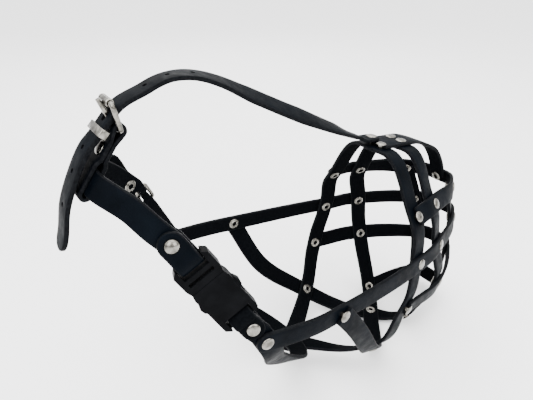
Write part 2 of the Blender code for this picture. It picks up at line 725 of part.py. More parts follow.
def roller_buckle(prefix, axes):
    """A wire frame, a tube that rolls on its front bar, and a tongue that swings on its heel bar."""
    half_inner = BUCKLE_INNER / 2
    mesh = bmesh.new()
    rod_ring(mesh, axes, half_inner + WIRE, 0, BUCKLE_LENGTH, WIRE, 2.2)
    add_object(f"{prefix}_buckle_frame", mesh, nickel(), smooth=True)

    turn = axes.to_3x3()
    across = turn @ Vector((1, 0, 0))
    bar = frame_matrix(axes @ Vector((0, BUCKLE_LENGTH * MM, 0)), turn @ Vector((0, 1, 0)), across)
    half_roller = half_inner - 2
    mesh = bmesh.new()
    rings = [ellipse(r, 12, z) for r, z in ((ROLLER_RADIUS, -half_roller), (ROLLER_RADIUS, half_roller),
                                            (BORE_RADIUS, half_roller), (BORE_RADIUS, -half_roller))]
    add_loft(mesh, rings, bar, closed=True)
    add_object(f"{prefix}_buckle_roller", mesh, nickel(), smooth=True, pivot=bar)

    half_width = TONGUE_WIDTH / 2
    eye = BORE_RADIUS + 1.2
    slope = math.atan2(TONGUE_TIP_RISE, BUCKLE_LENGTH)
    tip = Vector((0, math.cos(slope), math.sin(slope))) * TONGUE_LENGTH
    mesh = bmesh.new()
    eye_points = [(eye * math.cos(a), eye * math.sin(a))
                  for a in (slope + math.radians(d) for d in range(40, 321, 35))]
    rise = Vector((0, -math.sin(slope), math.cos(slope))) * TONGUE_THICK / 2
    outline = eye_points + [((tip - rise).y, (tip - rise).z), ((tip + rise).y, (tip + rise).z)]
    add_loft(mesh, [[(x, y, z) for y, z in outline] for x in (-half_width, half_width)], axes)
    heel = frame_matrix(axes.translation, turn @ Vector((0, 1, 0)), across)
    tongue = add_object(f"{prefix}_buckle_tongue", mesh, nickel(), pivot=heel)
    bore = bmesh.new()
    add_loft(bore, [ellipse(BORE_RADIUS, 12, -4), ellipse(BORE_RADIUS, 12, 4)], heel)
    cut(tongue, add_object(f"{prefix}_tongue_bore", bore, nickel()))


def forehead_keeper():
    """A flat metal loop round the forehead strap, just past its buckle."""
    axes = frame_matrix(place(*FOREHEAD_KEEPER), Vector((1, 0, 0)), TAIL_WAY)
    half_long, half_deep = KEEPER_HALF, THICK / 2 + GAP
    rings = []
    for wall, height in ((0, -1), (KEEPER_WALL, -1), (KEEPER_WALL, 1), (0, 1)):
        outline = rounded_box(half_deep + wall, half_long + wall, 0.3 + wall * 0.8)
        rings.append([(x, y, height * KEEPER_WIDTH / 2) for x, y in outline])
    mesh = bmesh.new()
    add_loft(mesh, rings, axes, closed=True)
    add_object("forehead_keeper", mesh, nickel())


def rounded_box(half_x, half_y, radius):
    """The outline of a box with two points at each rounded corner."""
    corner = [(half_x, half_y - radius), (half_x - radius * 0.3, half_y - radius * 0.3),
              (half_x - radius, half_y)]
    right = corner + [(-x, y) for x, y in reversed(corner)]
    return right + [(-x, -y) for x, y in right]


def side_release_clip(clip):
    """A socket, a plug with a slotted frame, and the plug's two spring arms in the socket's side windows."""
    half_width, half_thick = CLIP_WIDTH / 2, CLIP_THICK / 2
    cavity_x, cavity_z = half_width - CLIP_WALL, half_thick - CLIP_WALL
    slot_half = (TAB + 1.5) / 2
    mesh = bmesh.new()
    add_loft(mesh, [
        [(x, y, z) for x, y in socket_outline(half_width, -CLIP_HALF, SOCKET_TOP)] for z in (-half_thick,
                half_thick)
    ], clip)
    socket = add_object("clip_socket", mesh, plastic())
    cavity = bmesh.new()
    add_box(cavity, (-cavity_x, -16.5, -cavity_z), (cavity_x, SOCKET_TOP + 5, cavity_z), clip)
    cut(socket, add_object("clip_cavity", cavity, plastic()))
    windows = bmesh.new()
    add_box(windows, (-half_width - 3, -12.5, -cavity_z), (half_width + 3, 2.5, cavity_z), clip)
    cut(socket, add_object("clip_windows", windows, plastic()))
    add_crossbar(socket, clip, -1, slot_half, -19.4)

    mesh = bmesh.new()
    base = SOCKET_TOP + GAP
    add_loft(mesh, [
        [(x, -y, z) for x, y in reversed(socket_outline(half_width, -CLIP_HALF,
                                                        -base))] for z in (-half_thick, half_thick)
    ], clip)
    plug = add_object("clip_plug", mesh, plastic())
    slots = bmesh.new()
    add_box(slots, (-slot_half, 14, -9), (slot_half, 16.5, 9), clip)
    cut(plug, add_object("clip_plug_slot", slots, plastic()))
    add_crossbar(plug, clip, 1, slot_half, 19.4)
    guide = bmesh.new()
    add_box(guide, (-2.5, -14, -1.8), (2.5, base + 2, 1.8), clip)
    guide_bar = add_object("clip_guide", guide, plastic())
    join(plug, guide_bar)

    for name, side in (("front", 1), ("rear", -1)):
        clip_arm(f"clip_arm_{name}", clip, side, half_width, cavity_x, cavity_z)


def add_crossbar(body, clip, side, slot_half, slot_start):
    """Opens the end of a clip half and bridges it with the bar that the leather folds round."""
    ends = sorted((slot_start, side * (CLIP_HALF + 1)))
    notch = bmesh.new()
    add_box(notch, (-slot_half, ends[0], -9), (slot_half, ends[1], 9), clip)
    cut(body, add_object(body.name + "_notch", notch, plastic()))
    ends = sorted((side * (CLIP_HALF - BAR), side * CLIP_HALF))
    bar = bmesh.new()
    add_box(bar, (-slot_half - 1, ends[0], -BAR / 2), (slot_half + 1, ends[1], BAR / 2), clip)
    join(body, add_object(body.name + "_bar", bar, plastic()))


def socket_outline(half_width, low, high):
    """The socket seen from the front: chamfered at its foot and slightly waisted."""
    right = [(half_width - 3, low), (half_width, low + 3), (half_width, high - 4), (half_width - 1, high)]
    return right + [(-x, y) for x, y in reversed(right)]


def clip_arm(name, clip, side, half_width, cavity_x, cavity_z):
    """A springy arm whose thumb lobe fills the window, and whose root turns on an axis across the clip."""
    inner = cavity_x - ARM_THICK - 0.6
    half_z = cavity_z - GAP
    root_x = inner + ARM_THICK / 2
    outline = [
        (root_x - ARM_THICK / 2, ARM_ROOT), (root_x - ARM_THICK / 2, ARM_TIP), (cavity_x - 0.9, ARM_TIP),
        (half_width + 1.6, ARM_TIP + 4), (half_width + 2.2, ARM_TIP + 7.5), (half_width + 0.8, ARM_TIP
                + 11.5),
        (cavity_x - 0.9, 1.9), (cavity_x - 0.6, 3.5), (cavity_x - 0.6, ARM_ROOT),
    ]
    points = [(x * side, y) for x, y in outline]
    mesh = bmesh.new()
    add_loft(mesh, [[(x, y, z) for x, y in points] for z in (-half_z, half_z)], clip)
    root = clip @ Matrix.Translation(Vector((root_x * side, ARM_ROOT, 0)) * MM)
    add_object(name, mesh, plastic(), pivot=root)


main()
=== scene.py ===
import json
import math
from collections import defaultdict

import bmesh
import bpy
from mathutils import Matrix, Vector

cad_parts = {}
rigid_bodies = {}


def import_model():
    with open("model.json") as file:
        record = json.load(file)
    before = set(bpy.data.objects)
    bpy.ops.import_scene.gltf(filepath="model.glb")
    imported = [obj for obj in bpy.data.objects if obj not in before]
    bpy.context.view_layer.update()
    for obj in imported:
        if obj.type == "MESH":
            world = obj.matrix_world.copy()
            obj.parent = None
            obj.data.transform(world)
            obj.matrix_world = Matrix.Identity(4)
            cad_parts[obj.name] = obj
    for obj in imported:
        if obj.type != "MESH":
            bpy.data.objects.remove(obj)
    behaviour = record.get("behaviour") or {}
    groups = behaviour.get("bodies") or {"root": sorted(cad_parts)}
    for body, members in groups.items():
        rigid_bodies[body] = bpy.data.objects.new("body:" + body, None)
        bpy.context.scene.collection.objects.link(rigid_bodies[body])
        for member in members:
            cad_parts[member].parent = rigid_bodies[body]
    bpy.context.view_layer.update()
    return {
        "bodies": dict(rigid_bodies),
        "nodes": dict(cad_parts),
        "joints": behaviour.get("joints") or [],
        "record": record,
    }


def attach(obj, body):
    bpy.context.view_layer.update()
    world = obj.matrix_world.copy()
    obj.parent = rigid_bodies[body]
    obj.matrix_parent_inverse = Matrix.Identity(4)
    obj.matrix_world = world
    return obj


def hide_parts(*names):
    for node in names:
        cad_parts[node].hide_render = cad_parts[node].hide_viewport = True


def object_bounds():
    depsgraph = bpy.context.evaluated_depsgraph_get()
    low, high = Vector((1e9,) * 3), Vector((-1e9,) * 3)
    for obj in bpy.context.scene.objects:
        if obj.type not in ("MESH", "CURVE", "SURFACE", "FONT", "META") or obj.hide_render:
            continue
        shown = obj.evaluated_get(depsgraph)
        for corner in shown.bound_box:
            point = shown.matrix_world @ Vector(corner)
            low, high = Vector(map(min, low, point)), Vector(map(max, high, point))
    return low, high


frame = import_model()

# The looks of a leather basket muzzle. Each strap, rivet, buckle and clip piece is made again, finer, on
# the same driving points as its solid, which it replaces. Five rivets have no solid. Tables are in
# millimetres, as (sideways, forward, up), and place() turns them into metres in the frame's axes.

MM = 0.001

# Leather.
THICK = 3.0
GAP = 0.3
LAYER = THICK + GAP
STRAP = 16.0
LOOP_STRAP = 15.0
TRIMMED_STRAP = 14.0
NECK_STRAP = 16.0
TAB = 17.0
NOSE_PLATE = 25.0
PLATE_END = 34.0
PLATE_TAPER = 16.0
TRIM_END = 8.0
TRIM_TAPER = 20.0
FLAT = 7.0
BEND_STEPS = 10

# Rivets.
CAP_RADIUS = 4.6
CAP_HEIGHT = 1.3
DOME_RADIUS = 4.7
DOME_HEIGHT = 3.0
WASHER_RADIUS = 4.8
WASHER_HEIGHT = 1.0
SHANK_RADIUS = 2.6
ADJUSTING_HOLE = 1.5
HOLE_SIDES = 20
CUT_REACH = 10.0
ROUND_SIDES = 32
SEAT = 0.15

# Roller buckles.
WIRE = 1.5
WIRE_SIDES = 20
WIRE_CORNER = 2.2
BUCKLE_LENGTH = 16.5
BUCKLE_INNER = 17.5
ROLLER_RADIUS = 2.5
BORE_RADIUS = 1.85
TONGUE_WIDTH = 3.0
TONGUE_THICK = 2.2
TONGUE_LENGTH = 19.5
TONGUE_TIP_RISE = 3.9
SLOT_REACH = 3.0
SLOT_WIDTH = 4.2
EYE_SLOT_REACH = 4.5
EYE_SLOT_FRONT = 2.5

# Side-release clip.
CLIP_WIDTH = 26.0
CLIP_THICK = 9.6
CLIP_HALF = 28.0
CLIP_WALL = 1.6
CAVITY_X = CLIP_WIDTH / 2 - CLIP_WALL
CAVITY_Z = CLIP_THICK / 2 - CLIP_WALL
CAVITY_START = -16.5
SOCKET_TOP = 9.0
WINDOW_LOW = -12.5
WINDOW_HIGH = 2.5
PLUG_BASE = SOCKET_TOP + GAP
PLUG_SLOT_LOW = 14.0
PLUG_SLOT_HIGH = 16.5
GUIDE_X = 2.5
GUIDE_Z = 1.8
GUIDE_TIP = -14.0
BAR = 3.0
BAR_HALF = (TAB + 1.5) / 2
BAR_SLOT = 19.4
CUT_DEPTH = 9.0
CLIP_FROM_CHEEK = 27.0
CLIP_RIVET = -38.5
FOLD_RADIUS = 4.3
ARM_ROOT = 8.6
ARM_TIP = -11.0
ARM_THICK = 4.2


def place(sideways, forward, up):
    return Vector((sideways, -forward, up)) * MM


# The basket's rivet points on the dog's left, on the middle surface of each ring strap and upright.
NOSE_RING = {
    "upper": (50.8, 0, 40.4),
    "main": (60.5, 0, 0),
    "lower": (63, -10, -43),
    "jaw": (49, -30, -89),
}
FRONT_RING = {
    "upper": (44.4, 29, 41),
    "main": (50.8, 37.6, 0),
    "lower": (51.7, 47, -45.6),
    "chin": (26, 43, -103),
}
UPRIGHT = {
    "upper": (26, 77, 37),
    "main": (23, 94, -3),
    "lower": (18, 105, -48.6),
    "chin": (13.5, 107, -101),
}

# Where the loops cross the middle in front of the nose, and the basket's other driving points.
FRONT_CENTRE = {
    "upper": (0, 95.5, 33),
    "main": (0, 108, -5),
    "lower": (0, 114, -50),
    "chin": (0, 113, -101),
}
NOSE_FOOT = (0, 94.7, 34)
BRIDGE_HALF = 6.0
NOSE_BRIDGE = (BRIDGE_HALF, -2, 87)
FRONT_BRIDGE = (BRIDGE_HALF, 23, 84.7)
BRIDGE_UP = Vector((0, -0.092, 1)).normalized()
BRIDGE_FLAT = 5.9
CHIN_CROSS = (0, 21, -111)
THROAT = (0, -90, -92)
JAW_JOIN = (76.5, -102, 6)
JOIN_FLAT = 12.5
CHEEK = (75, -166, 12)
CLIP_DOME = (-46, -213, 92)
BUCKLE_REAR = (48, -207, 92)
JAW_SAG = (64, -79, -44.5)
THROAT_SAG = (52, -142, -37)
BUCKLE_FROM_REAR = 18.0
INSIDE = place(0, 30, -20)

# The forehead strap's middle line, from its riveted end back over the head to its hanging tail.
FOREHEAD_LINE = [
    (6, -22, 100), (2, -46, 112), (0, -85, 131), (0, -129, 154), (0, -152, 166.5), (0, -170, 173),
    (0, -186, 174), (0, -200, 170),
]
# How far the strap's face leans to the dog's right at each of those points, as a slope.
FOREHEAD_ROLL = [0, 0.3, 0.6, 0.5, 0.25, 0.1, 0, 0]
FOREHEAD_TAIL = [(0, -240, 141.5), (0, -248, 129), (0, -257, 110), (0, -262.5, 89)]
FOREHEAD_HEEL = (0, -221, 150)
FOREHEAD_CROSSING = (0, -223.6, 158)
FOREHEAD_KEEPER = (0, -230.85, 150.4)
TAIL_WAY = Vector((0, 0.69, -0.72))
KEEPER_HALF = 9.4
KEEPER_WALL = 1.0
KEEPER_WIDTH = 5.0
FOREHEAD_HOLES = [
    (0, -170, 173), (0, -186, 174), (0, -200, 170), (0, -240, 141.5), (0, -248, 129), (0, -257, 110),
]
NAPE_DOWN = (0, -0.6, -0.8)
NAPE_REACH = 34.0

SIDES = (("right", -1), ("left", 1))

# Finer shapes that only the looks have.
EDGE_RADIUS = 0.85
CROWN = 0.12
HOLLOW_RADIUS = 2.15
LIP_RADIUS = 2.75
SMOOTH_ANGLE = math.radians(38)
FLOOR_DROP = 0.0006
FLOOR_HALF = 20.0

# Each lamp's name, place, size in metres and power in watts.
LAMPS = (
    ("overhead_softbox", (0.0, 0.15, 1.25), 1.5, 26.0),
    ("rear_softbox", (-0.75, 1.05, 0.95), 0.9, 15.0),
    ("side_softbox", (-1.2, -0.25, 0.65), 0.8, 9.0),
    ("far_softbox", (1.1, -0.5, 0.9), 1.0, 9.0),
)
LAMP_TARGET = (0, 0.05, 0)

# The room's light, by the height of the way it comes from.
HORIZON = 0.12
CEILING = 0.62
HORIZON_LIGHT = 0.36
ROOM_LIGHT = 3.3

SENSOR_WIDTH = 36.0
CAMERA_LENS = 32.42
CAMERA_PLACE = (-0.2674, 0.2970, 0.2460)
CAMERA_WAY = (0.726, -0.493, -0.479)

MOVING = {
    "forehead_buckle_tongue": "forehead_tongue",
    "forehead_buckle_roller": "forehead_roller",
    "cheek_buckle_tongue": "cheek_tongue",
    "cheek_buckle_roller": "cheek_roller",
    "clip_arm_front": "clip_arm_front",
    "clip_arm_rear": "clip_arm_rear",
}

# A leather piece's materials, by their place in its list.
GRAIN, EDGE, FLESH = range(3)

slots_cut = defaultdict(list)
pieces = {}
helpers = []
materials = {}


# Materials


def start_material(name):
    made = bpy.data.materials.new(name)
    made.use_nodes = True
    return made, made.node_tree.nodes, made.node_tree.links, made.node_tree.nodes["Principled BSDF"]


def noise(nodes, links, scale, detail, roughness=0.55):
    where = nodes.new("ShaderNodeTexCoord")
    texture = nodes.new("ShaderNodeTexNoise")
    texture.inputs["Scale"].default_value = scale
    texture.inputs["Detail"].default_value = detail
    texture.inputs["Roughness"].default_value = roughness
    links.new(where.outputs["Object"], texture.inputs["Vector"])
    return texture.outputs["Fac"]


def spread(nodes, links, source, low, high, start=0.35, end=0.65):
    """Maps a texture's middle values onto a range."""
    scaled = nodes.new("ShaderNodeMapRange")
    scaled.inputs["From Min"].default_value = start
    scaled.inputs["From Max"].default_value = end
    scaled.inputs["To Min"].default_value = low
    scaled.inputs["To Max"].default_value = high
    links.new(source, scaled.inputs["Value"])
    return scaled.outputs["Result"]


def blend_colours(nodes, links, source, dark, light):
    ramp = nodes.new("ShaderNodeValToRGB")
    ramp.color_ramp.elements[0].position = 0.38
    ramp.color_ramp.elements[0].color = (*dark, 1)
    ramp.color_ramp.elements[1].position = 0.66
    ramp.color_ramp.elements[1].color = (*light, 1)
    links.new(source, ramp.inputs["Fac"])
    return ramp.outputs["Color"]


def bump(nodes, links, height, depth, strength, below=None):
    made = nodes.new("ShaderNodeBump")
    made.inputs["Strength"].default_value = strength
    made.inputs["Distance"].default_value = depth
    links.new(height, made.inputs["Height"])
    if below is not None:
        links.new(below, made.inputs["Normal"])
    return made.outputs["Normal"]


def pebbles(nodes, links, scale):
    where = nodes.new("ShaderNodeTexCoord")
    cells = nodes.new("ShaderNodeTexVoronoi")
    cells.feature = "SMOOTH_F1"
    cells.inputs["Scale"].default_value = scale
    links.new(where.outputs["Object"], cells.inputs["Vector"])
    return cells.outputs["Distance"]


def leather_face():
    """The grain side: finely pebbled, waxed, with soft handling marks."""
    made, nodes, links, shader = start_material("black_leather_grain")
    broad = noise(nodes, links, 38, 4)
    links.new(blend_colours(nodes, links, broad, (0.0005, 0.0010, 0.0018), (0.0014, 0.0024, 0.0040)),
              shader.inputs["Base Color"])
    links.new(spread(nodes, links, noise(nodes, links, 150, 6), 0.42, 0.58), shader.inputs["Roughness"])
    grain = bump(nodes, links, pebbles(nodes, links, 1150), 0.00016, 0.34)
    creases = bump(nodes, links, noise(nodes, links, 260, 7, 0.62), 0.00022, 0.30, grain)
    links.new(creases, shader.inputs["Normal"])
    shader.inputs["Specular IOR Level"].default_value = 0.020
    return made


def leather_edge():
    """The cut edge: dyed and burnished, a little greyer where it is rubbed."""
    made, nodes, links, shader = start_material("black_leather_edge")
    fibres = noise(nodes, links, 520, 5)
    links.new(blend_colours(nodes, links, fibres, (0.0016, 0.0019, 0.0025), (0.0050, 0.0055, 0.0064)),
              shader.inputs["Base Color"])
    links.new(spread(nodes, links, fibres, 0.42, 0.62), shader.inputs["Roughness"])
    links.new(bump(nodes, links, fibres, 0.00018, 0.3), shader.inputs["Normal"])
    shader.inputs["Specular IOR Level"].default_value = 0.020
    return made


def leather_flesh():
    """The flesh side: dyed through, matt and fibrous."""
    made, nodes, links, shader = start_material("black_leather_flesh")
    fibres = noise(nodes, links, 700, 8, 0.7)
    links.new(blend_colours(nodes, links, fibres, (0.0008, 0.0010, 0.0014), (0.0024, 0.0028, 0.0035)),
              shader.inputs["Base Color"])
    links.new(spread(nodes, links, fibres, 0.62, 0.82), shader.inputs["Roughness"])
    links.new(bump(nodes, links, fibres, 0.00028, 0.45), shader.inputs["Normal"])
    shader.inputs["Specular IOR Level"].default_value = 0.008
    return made


def nickel_plate():
    made, nodes, links, shader = start_material("nickel_plate_polished")
    film = noise(nodes, links, 210, 5)
    links.new(blend_colours(nodes, links, film, (0.085, 0.081, 0.071), (0.26, 0.25, 0.225)),
              shader.inputs["Base Color"])
    links.new(spread(nodes, links, film, 0.12, 0.26), shader.inputs["Roughness"])
    links.new(bump(nodes, links, noise(nodes, links, 900, 4), 0.00004, 0.2), shader.inputs["Normal"])
    shader.inputs["Metallic"].default_value = 1.0
    return made


def moulded_plastic():
    made, nodes, links, shader = start_material("black_plastic_satin")
    speckle = noise(nodes, links, 1700, 3)
    tint = noise(nodes, links, 90, 3)
    links.new(blend_colours(nodes, links, tint, (0.0012, 0.0013, 0.0016), (0.0024, 0.0026, 0.0031)),
              shader.inputs["Base Color"])
    links.new(spread(nodes, links, noise(nodes, links, 240, 5), 0.38, 0.52), shader.inputs["Roughness"])
    links.new(bump(nodes, links, speckle, 0.00005, 0.22), shader.inputs["Normal"])
    shader.inputs["Specular IOR Level"].default_value = 0.018
    return made


def surface(kind):
    makers = {
        "grain": leather_face,
        "edge": leather_edge,
        "flesh": leather_flesh,
        "nickel": nickel_plate,
        "plastic": moulded_plastic,
    }
    if kind not in materials:
        materials[kind] = makers[kind]()
    return materials[kind]


def leather():
    return [surface("grain"), surface("edge"), surface("flesh")]


def nickel():
    return [surface("nickel")]


def plastic():
    return [surface("plastic")]


# Objects


def add_object(name, mesh_data, surfaces):
    mesh = bpy.data.meshes.new(name + "_look")
    bmesh.ops.recalc_face_normals(mesh_data, faces=mesh_data.faces)
    mesh_data.to_mesh(mesh)
    mesh_data.free()
    for material in surfaces:
        mesh.materials.append(material)
    mesh.shade_smooth()
    made = bpy.data.objects.new(name + "_look", mesh)
    bpy.context.scene.collection.objects.link(made)
    pieces[name] = made
    return made


def cut(target, cutter, operation="DIFFERENCE"):
    helpers.append(cutter)
    boolean = target.modifiers.new(cutter.name, "BOOLEAN")
    boolean.operation = operation
    boolean.solver = "EXACT"
    boolean.object = cutter


def join(target, helper):
    cut(target, helper, "UNION")


def soften(target, width, segments=2):
    """Rounds a piece's edges once its shape is cut."""
    bevel = target.modifiers.new("rounded_edges", "BEVEL")
    bevel.width = width * MM
    bevel.segments = segments
    bevel.limit_method = "ANGLE"
    bevel.angle_limit = math.radians(35)


def finish_pieces():
    """Bakes every piece's modifiers, removes the cutters, and ties each piece to the body of its solid."""
    graph = bpy.context.evaluated_depsgraph_get()
    baked = {name: bpy.data.meshes.new_from_object(made.evaluated_get(graph))
             for name, made in pieces.items() if made not in helpers}
    for name, mesh in baked.items():
        made = pieces[name]
        made.modifiers.clear()
        made.data = mesh
        mesh.shade_smooth()
        mesh.set_sharp_from_angle(angle=SMOOTH_ANGLE)
        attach(made, MOVING.get(name, "basket"))
        if name in frame["nodes"]:
            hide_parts(name)
    for cutter in helpers:
        bpy.data.objects.remove(cutter, do_unlink=True)


def frame_matrix(origin, along, out):
    """Axes at a point: Y runs along, Z points out, and X completes them."""
    along = along.normalized()
    out = (out - along * out.dot(along)).normalized()
    across = along.cross(out)
    axes = Matrix((across, along, out)).transposed().to_4x4()
    axes.translation = origin
    return axes


def circle(radius, sides, height):
    return [(radius * math.cos(a), radius * math.sin(a), height)
            for a in (2 * math.pi * step / sides for step in range(sides))]


def add_loft(mesh, rings, axes, closed=False, kinds=None):
    """Skins a run of equal rings of points, given in millimetres in the axes."""
    rows = [[mesh.verts.new(axes @ (Vector(point) * MM)) for point in ring] for ring in rings]
    pairs = list(zip(rows, rows[1:]))
    if closed:
        pairs.append((rows[-1], rows[0]))
    else:
        for end in (rows[0], list(reversed(rows[-1]))):
            mesh.faces.new(end).material_index = EDGE if kinds else 0
    for lower, upper in pairs:
        for i in range(len(lower)):
            j = (i + 1) % len(lower)
            face = mesh.faces.new((lower[i], upper[i], upper[j], lower[j]))
            face.material_index = kinds[i] if kinds else 0


def add_box(mesh, low, high, axes):
    outline = ((high[0], high[1]), (low[0], high[1]), (low[0], low[1]), (high[0], low[1]))
    add_loft(mesh, [[(x, y, z) for x, y in outline] for z in (low[2], high[2])], axes)


# Rivets


def punch(strap_name, point, normal, radius, along=None, reach=0.0):
    """Notes a hole. It is an oval as much longer than it is wide as twice the reach along the given way."""
    slots_cut[strap_name].append((point, normal, radius, along or normal.orthogonal(), reach))


def oval(radius, reach, height):
    """A circle in the XY plane, pulled apart along Y."""
    turns = [2 * math.pi * (step + 0.5) / HOLE_SIDES for step in range(HOLE_SIDES)]
    points = [(radius * math.cos(turn), radius * math.sin(turn)) for turn in turns]
    return [(x, y + math.copysign(reach, y), height) for x, y in points]


def rivet(name, base, normal, below, above, dome=False):
    """A tubular rivet: a smooth cap outside, and inside a washer with the shank's end rolled over it."""
    normal = normal.normalized()
    axes = frame_matrix(base, normal.orthogonal(), normal)
    top = above + SEAT
    bottom = -below - SEAT
    radius = DOME_RADIUS if dome else CAP_RADIUS
    height = DOME_HEIGHT if dome else CAP_HEIGHT
    washer = [
        (0.4, top - 0.4),
        (HOLLOW_RADIUS, top - 0.5),
        (HOLLOW_RADIUS, bottom - WASHER_HEIGHT * 0.8),
        (HOLLOW_RADIUS + 0.25, bottom - WASHER_HEIGHT * 1.02),
        (LIP_RADIUS, bottom - WASHER_HEIGHT),
        (LIP_RADIUS + 0.35, bottom - WASHER_HEIGHT * 0.62),
        (WASHER_RADIUS * 0.82, bottom - WASHER_HEIGHT * 0.72),
        (WASHER_RADIUS * 0.95, bottom - WASHER_HEIGHT * 0.5),
        (WASHER_RADIUS, bottom - WASHER_HEIGHT * 0.2),
        (WASHER_RADIUS, bottom),
        (SHANK_RADIUS, bottom),
        (SHANK_RADIUS, top),
        (radius * 0.97, top),
    ]
    cap = [(radius * math.cos(turn), top + 0.12 + (height - 0.12) * math.sin(turn))
           for turn in (math.radians(angle) for angle in (0, 12, 26, 42, 58, 74, 86))]
    mesh = bmesh.new()
    add_loft(mesh, [circle(r, ROUND_SIDES, z) for r, z in washer + cap], axes)
    add_object(name, mesh, nickel())


# Straps


class Station:
    """A point that a strap's middle surface passes, the way it faces there, and how far it stays flat."""

    def __init__(self, point, normal, flat=FLAT):
        self.point = point
        self.normal = normal.normalized()
        self.flat = flat * MM


def offset(station, distance, flat=None):
    moved = Station(station.point + station.normal * distance * MM, station.normal)
    moved.flat = station.flat if flat is None else flat * MM
    return moved


def bend(start, lead, end, arrive, t):
    """The point and the slope, t of the way along a smooth bend that leaves and arrives as given."""
    point = (start * (2 * t**3 - 3 * t**2 + 1) + lead * (t**3 - 2 * t**2 + t)
             + end * (3 * t**2 - 2 * t**3) + arrive * (t**3 - t**2))
    slope = (start * (6 * t**2 - 6 * t) + lead * (3 * t**2 - 4 * t + 1)
             + end * (6 * t - 6 * t**2) + arrive * (3 * t**2 - 2 * t)).normalized()
    return point, slope


def frames_along(stations, closed):
    """Points and normals along a strap: straight through each station, and bent evenly between them."""
    count = len(stations)
    tangents = []
    for i, here in enumerate(stations):
        before = stations[(i - 1) % count if closed else max(i - 1, 0)]
        after = stations[(i + 1) % count if closed else min(i + 1, count - 1)]
        way = after.point - before.point
        way -= here.normal * way.dot(here.normal)
        tangents.append(way.normalized())
    frames = []
    for i, here in enumerate(stations):
        if here.flat and (closed or i > 0):
            frames.append((here.point - tangents[i] * here.flat, here.normal, tangents[i]))
        if not here.flat or closed or i in (0, count - 1):
            frames.append((here.point, here.normal, tangents[i]))
        if here.flat and (closed or i < count - 1):
            frames.append((here.point + tangents[i] * here.flat, here.normal, tangents[i]))
        if i == count - 1 and not closed:
            break
        after = stations[(i + 1) % count]
        start = here.point + tangents[i] * here.flat
        end = after.point - tangents[(i + 1) % count] * after.flat
        reach = (end - start).length
        lead = tangents[i] * reach
        arrive = tangents[(i + 1) % count] * reach
        for step in range(1, BEND_STEPS + 1):
            t = step / (BEND_STEPS + 1)
            point, slope = bend(start, lead, end, arrive, t)
            normal = here.normal.lerp(after.normal, t)
            normal = (normal - slope * normal.dot(slope)).normalized()
            frames.append((point, normal, slope))
    return frames


def shrunk_end(frames, half_width, at_start, rounded):
    """The rows of a round or square end whose edge is eased, each with its half width and thinning."""
    point, normal, tangent = frames[0] if at_start else frames[-1]
    way = -tangent if at_start else tangent
    if not rounded:
        back = point - way * EDGE_RADIUS * 0.6 * MM
        return [(back, normal, tangent, half_width, 1), (point, normal, tangent, half_width - 0.5, 0.62)]
    extra = []
    for angle in (0, 12, 24, 36, 48, 60, 71, 80, 86):
        turn = math.radians(angle)
        thin = 1 - 0.4 * math.sin(turn) ** 12
        extra.append((point + way * half_width * math.sin(turn) * MM, normal, tangent,
                      half_width * math.cos(turn), thin))
    return extra


def section(half_width, half_thick):
    """A cross-section with eased edges and a slightly crowned grain side, and each side's material."""
    radius = min(EDGE_RADIUS, half_width * 0.7, half_thick * 0.7)
    flat = half_width - radius
    arcs = [(math.cos(math.radians(a)), math.sin(math.radians(a))) for a in (0, 30, 60, 90)]
    corner = [(flat + radius * c, half_thick - radius + radius * s) for c, s in arcs]
    crown = CROWN * half_thick / (THICK / 2)
    crowned = [(flat * 0.5, half_thick + crown * 0.7), (0, half_thick + crown),
               (-flat * 0.5, half_thick + crown * 0.7)]
    ring = corner + crowned + [(-x, y) for x, y in reversed(corner)]
    ring += [(-x, -y) for x, y in corner] + [(x, -y) for x, y in reversed(corner)]
    kinds = [EDGE] * 3 + [GRAIN] * 4 + [EDGE] * 7 + [FLESH] + [EDGE] * 4
    return ring, kinds


def strap(name, stations, width=STRAP, thick=THICK, closed=False, ends="square", width_at=None):
    """A strap whose middle surface passes the stations. width_at gives the width where it varies."""
    frames = frames_along(stations, closed)
    half = width / 2
    rows = [(*frame, width_at(frame[0]) / 2 if width_at else half, 1) for frame in frames]
    if not closed:
        start = shrunk_end(frames, rows[0][3], True, ends in ("round", "round_start"))
        end = shrunk_end(frames, rows[-1][3], False, ends in ("round", "round_end"))
        rows = list(reversed(start)) + rows[1:-1] + end
    rings = []
    for point, normal, tangent, half_width, thin in rows:
        across = tangent.cross(normal).normalized()
        outline, kinds = section(half_width, thick / 2 * thin)
        rings.append([(point + (across * a + normal * b) * MM) / MM for a, b in outline])
    mesh = bmesh.new()
    add_loft(mesh, rings, Matrix.Identity(4), closed, kinds)
    return add_object(name, mesh, leather())


def cut_slots():
    """Cuts each strap's adjustment holes and buckle slots."""
    for name, punched in slots_cut.items():
        cutters = bmesh.new()
        for point, normal, radius, along, reach in punched:
            axes = frame_matrix(point, along, normal)
            add_loft(cutters, [oval(radius, reach, -CUT_REACH), oval(radius, reach, CUT_REACH)], axes)
        cut(pieces[name], add_object(name + "_holes", cutters, [surface("edge")]))


def outward(point, first, second):
    """Square to both ways, pointing out of the basket."""
    normal = first.cross(second).normalized()
    return normal if normal.dot(point - INSIDE) > 0 else -normal


def mirrored(values, side):
    return place(values[0] * side, values[1], values[2])


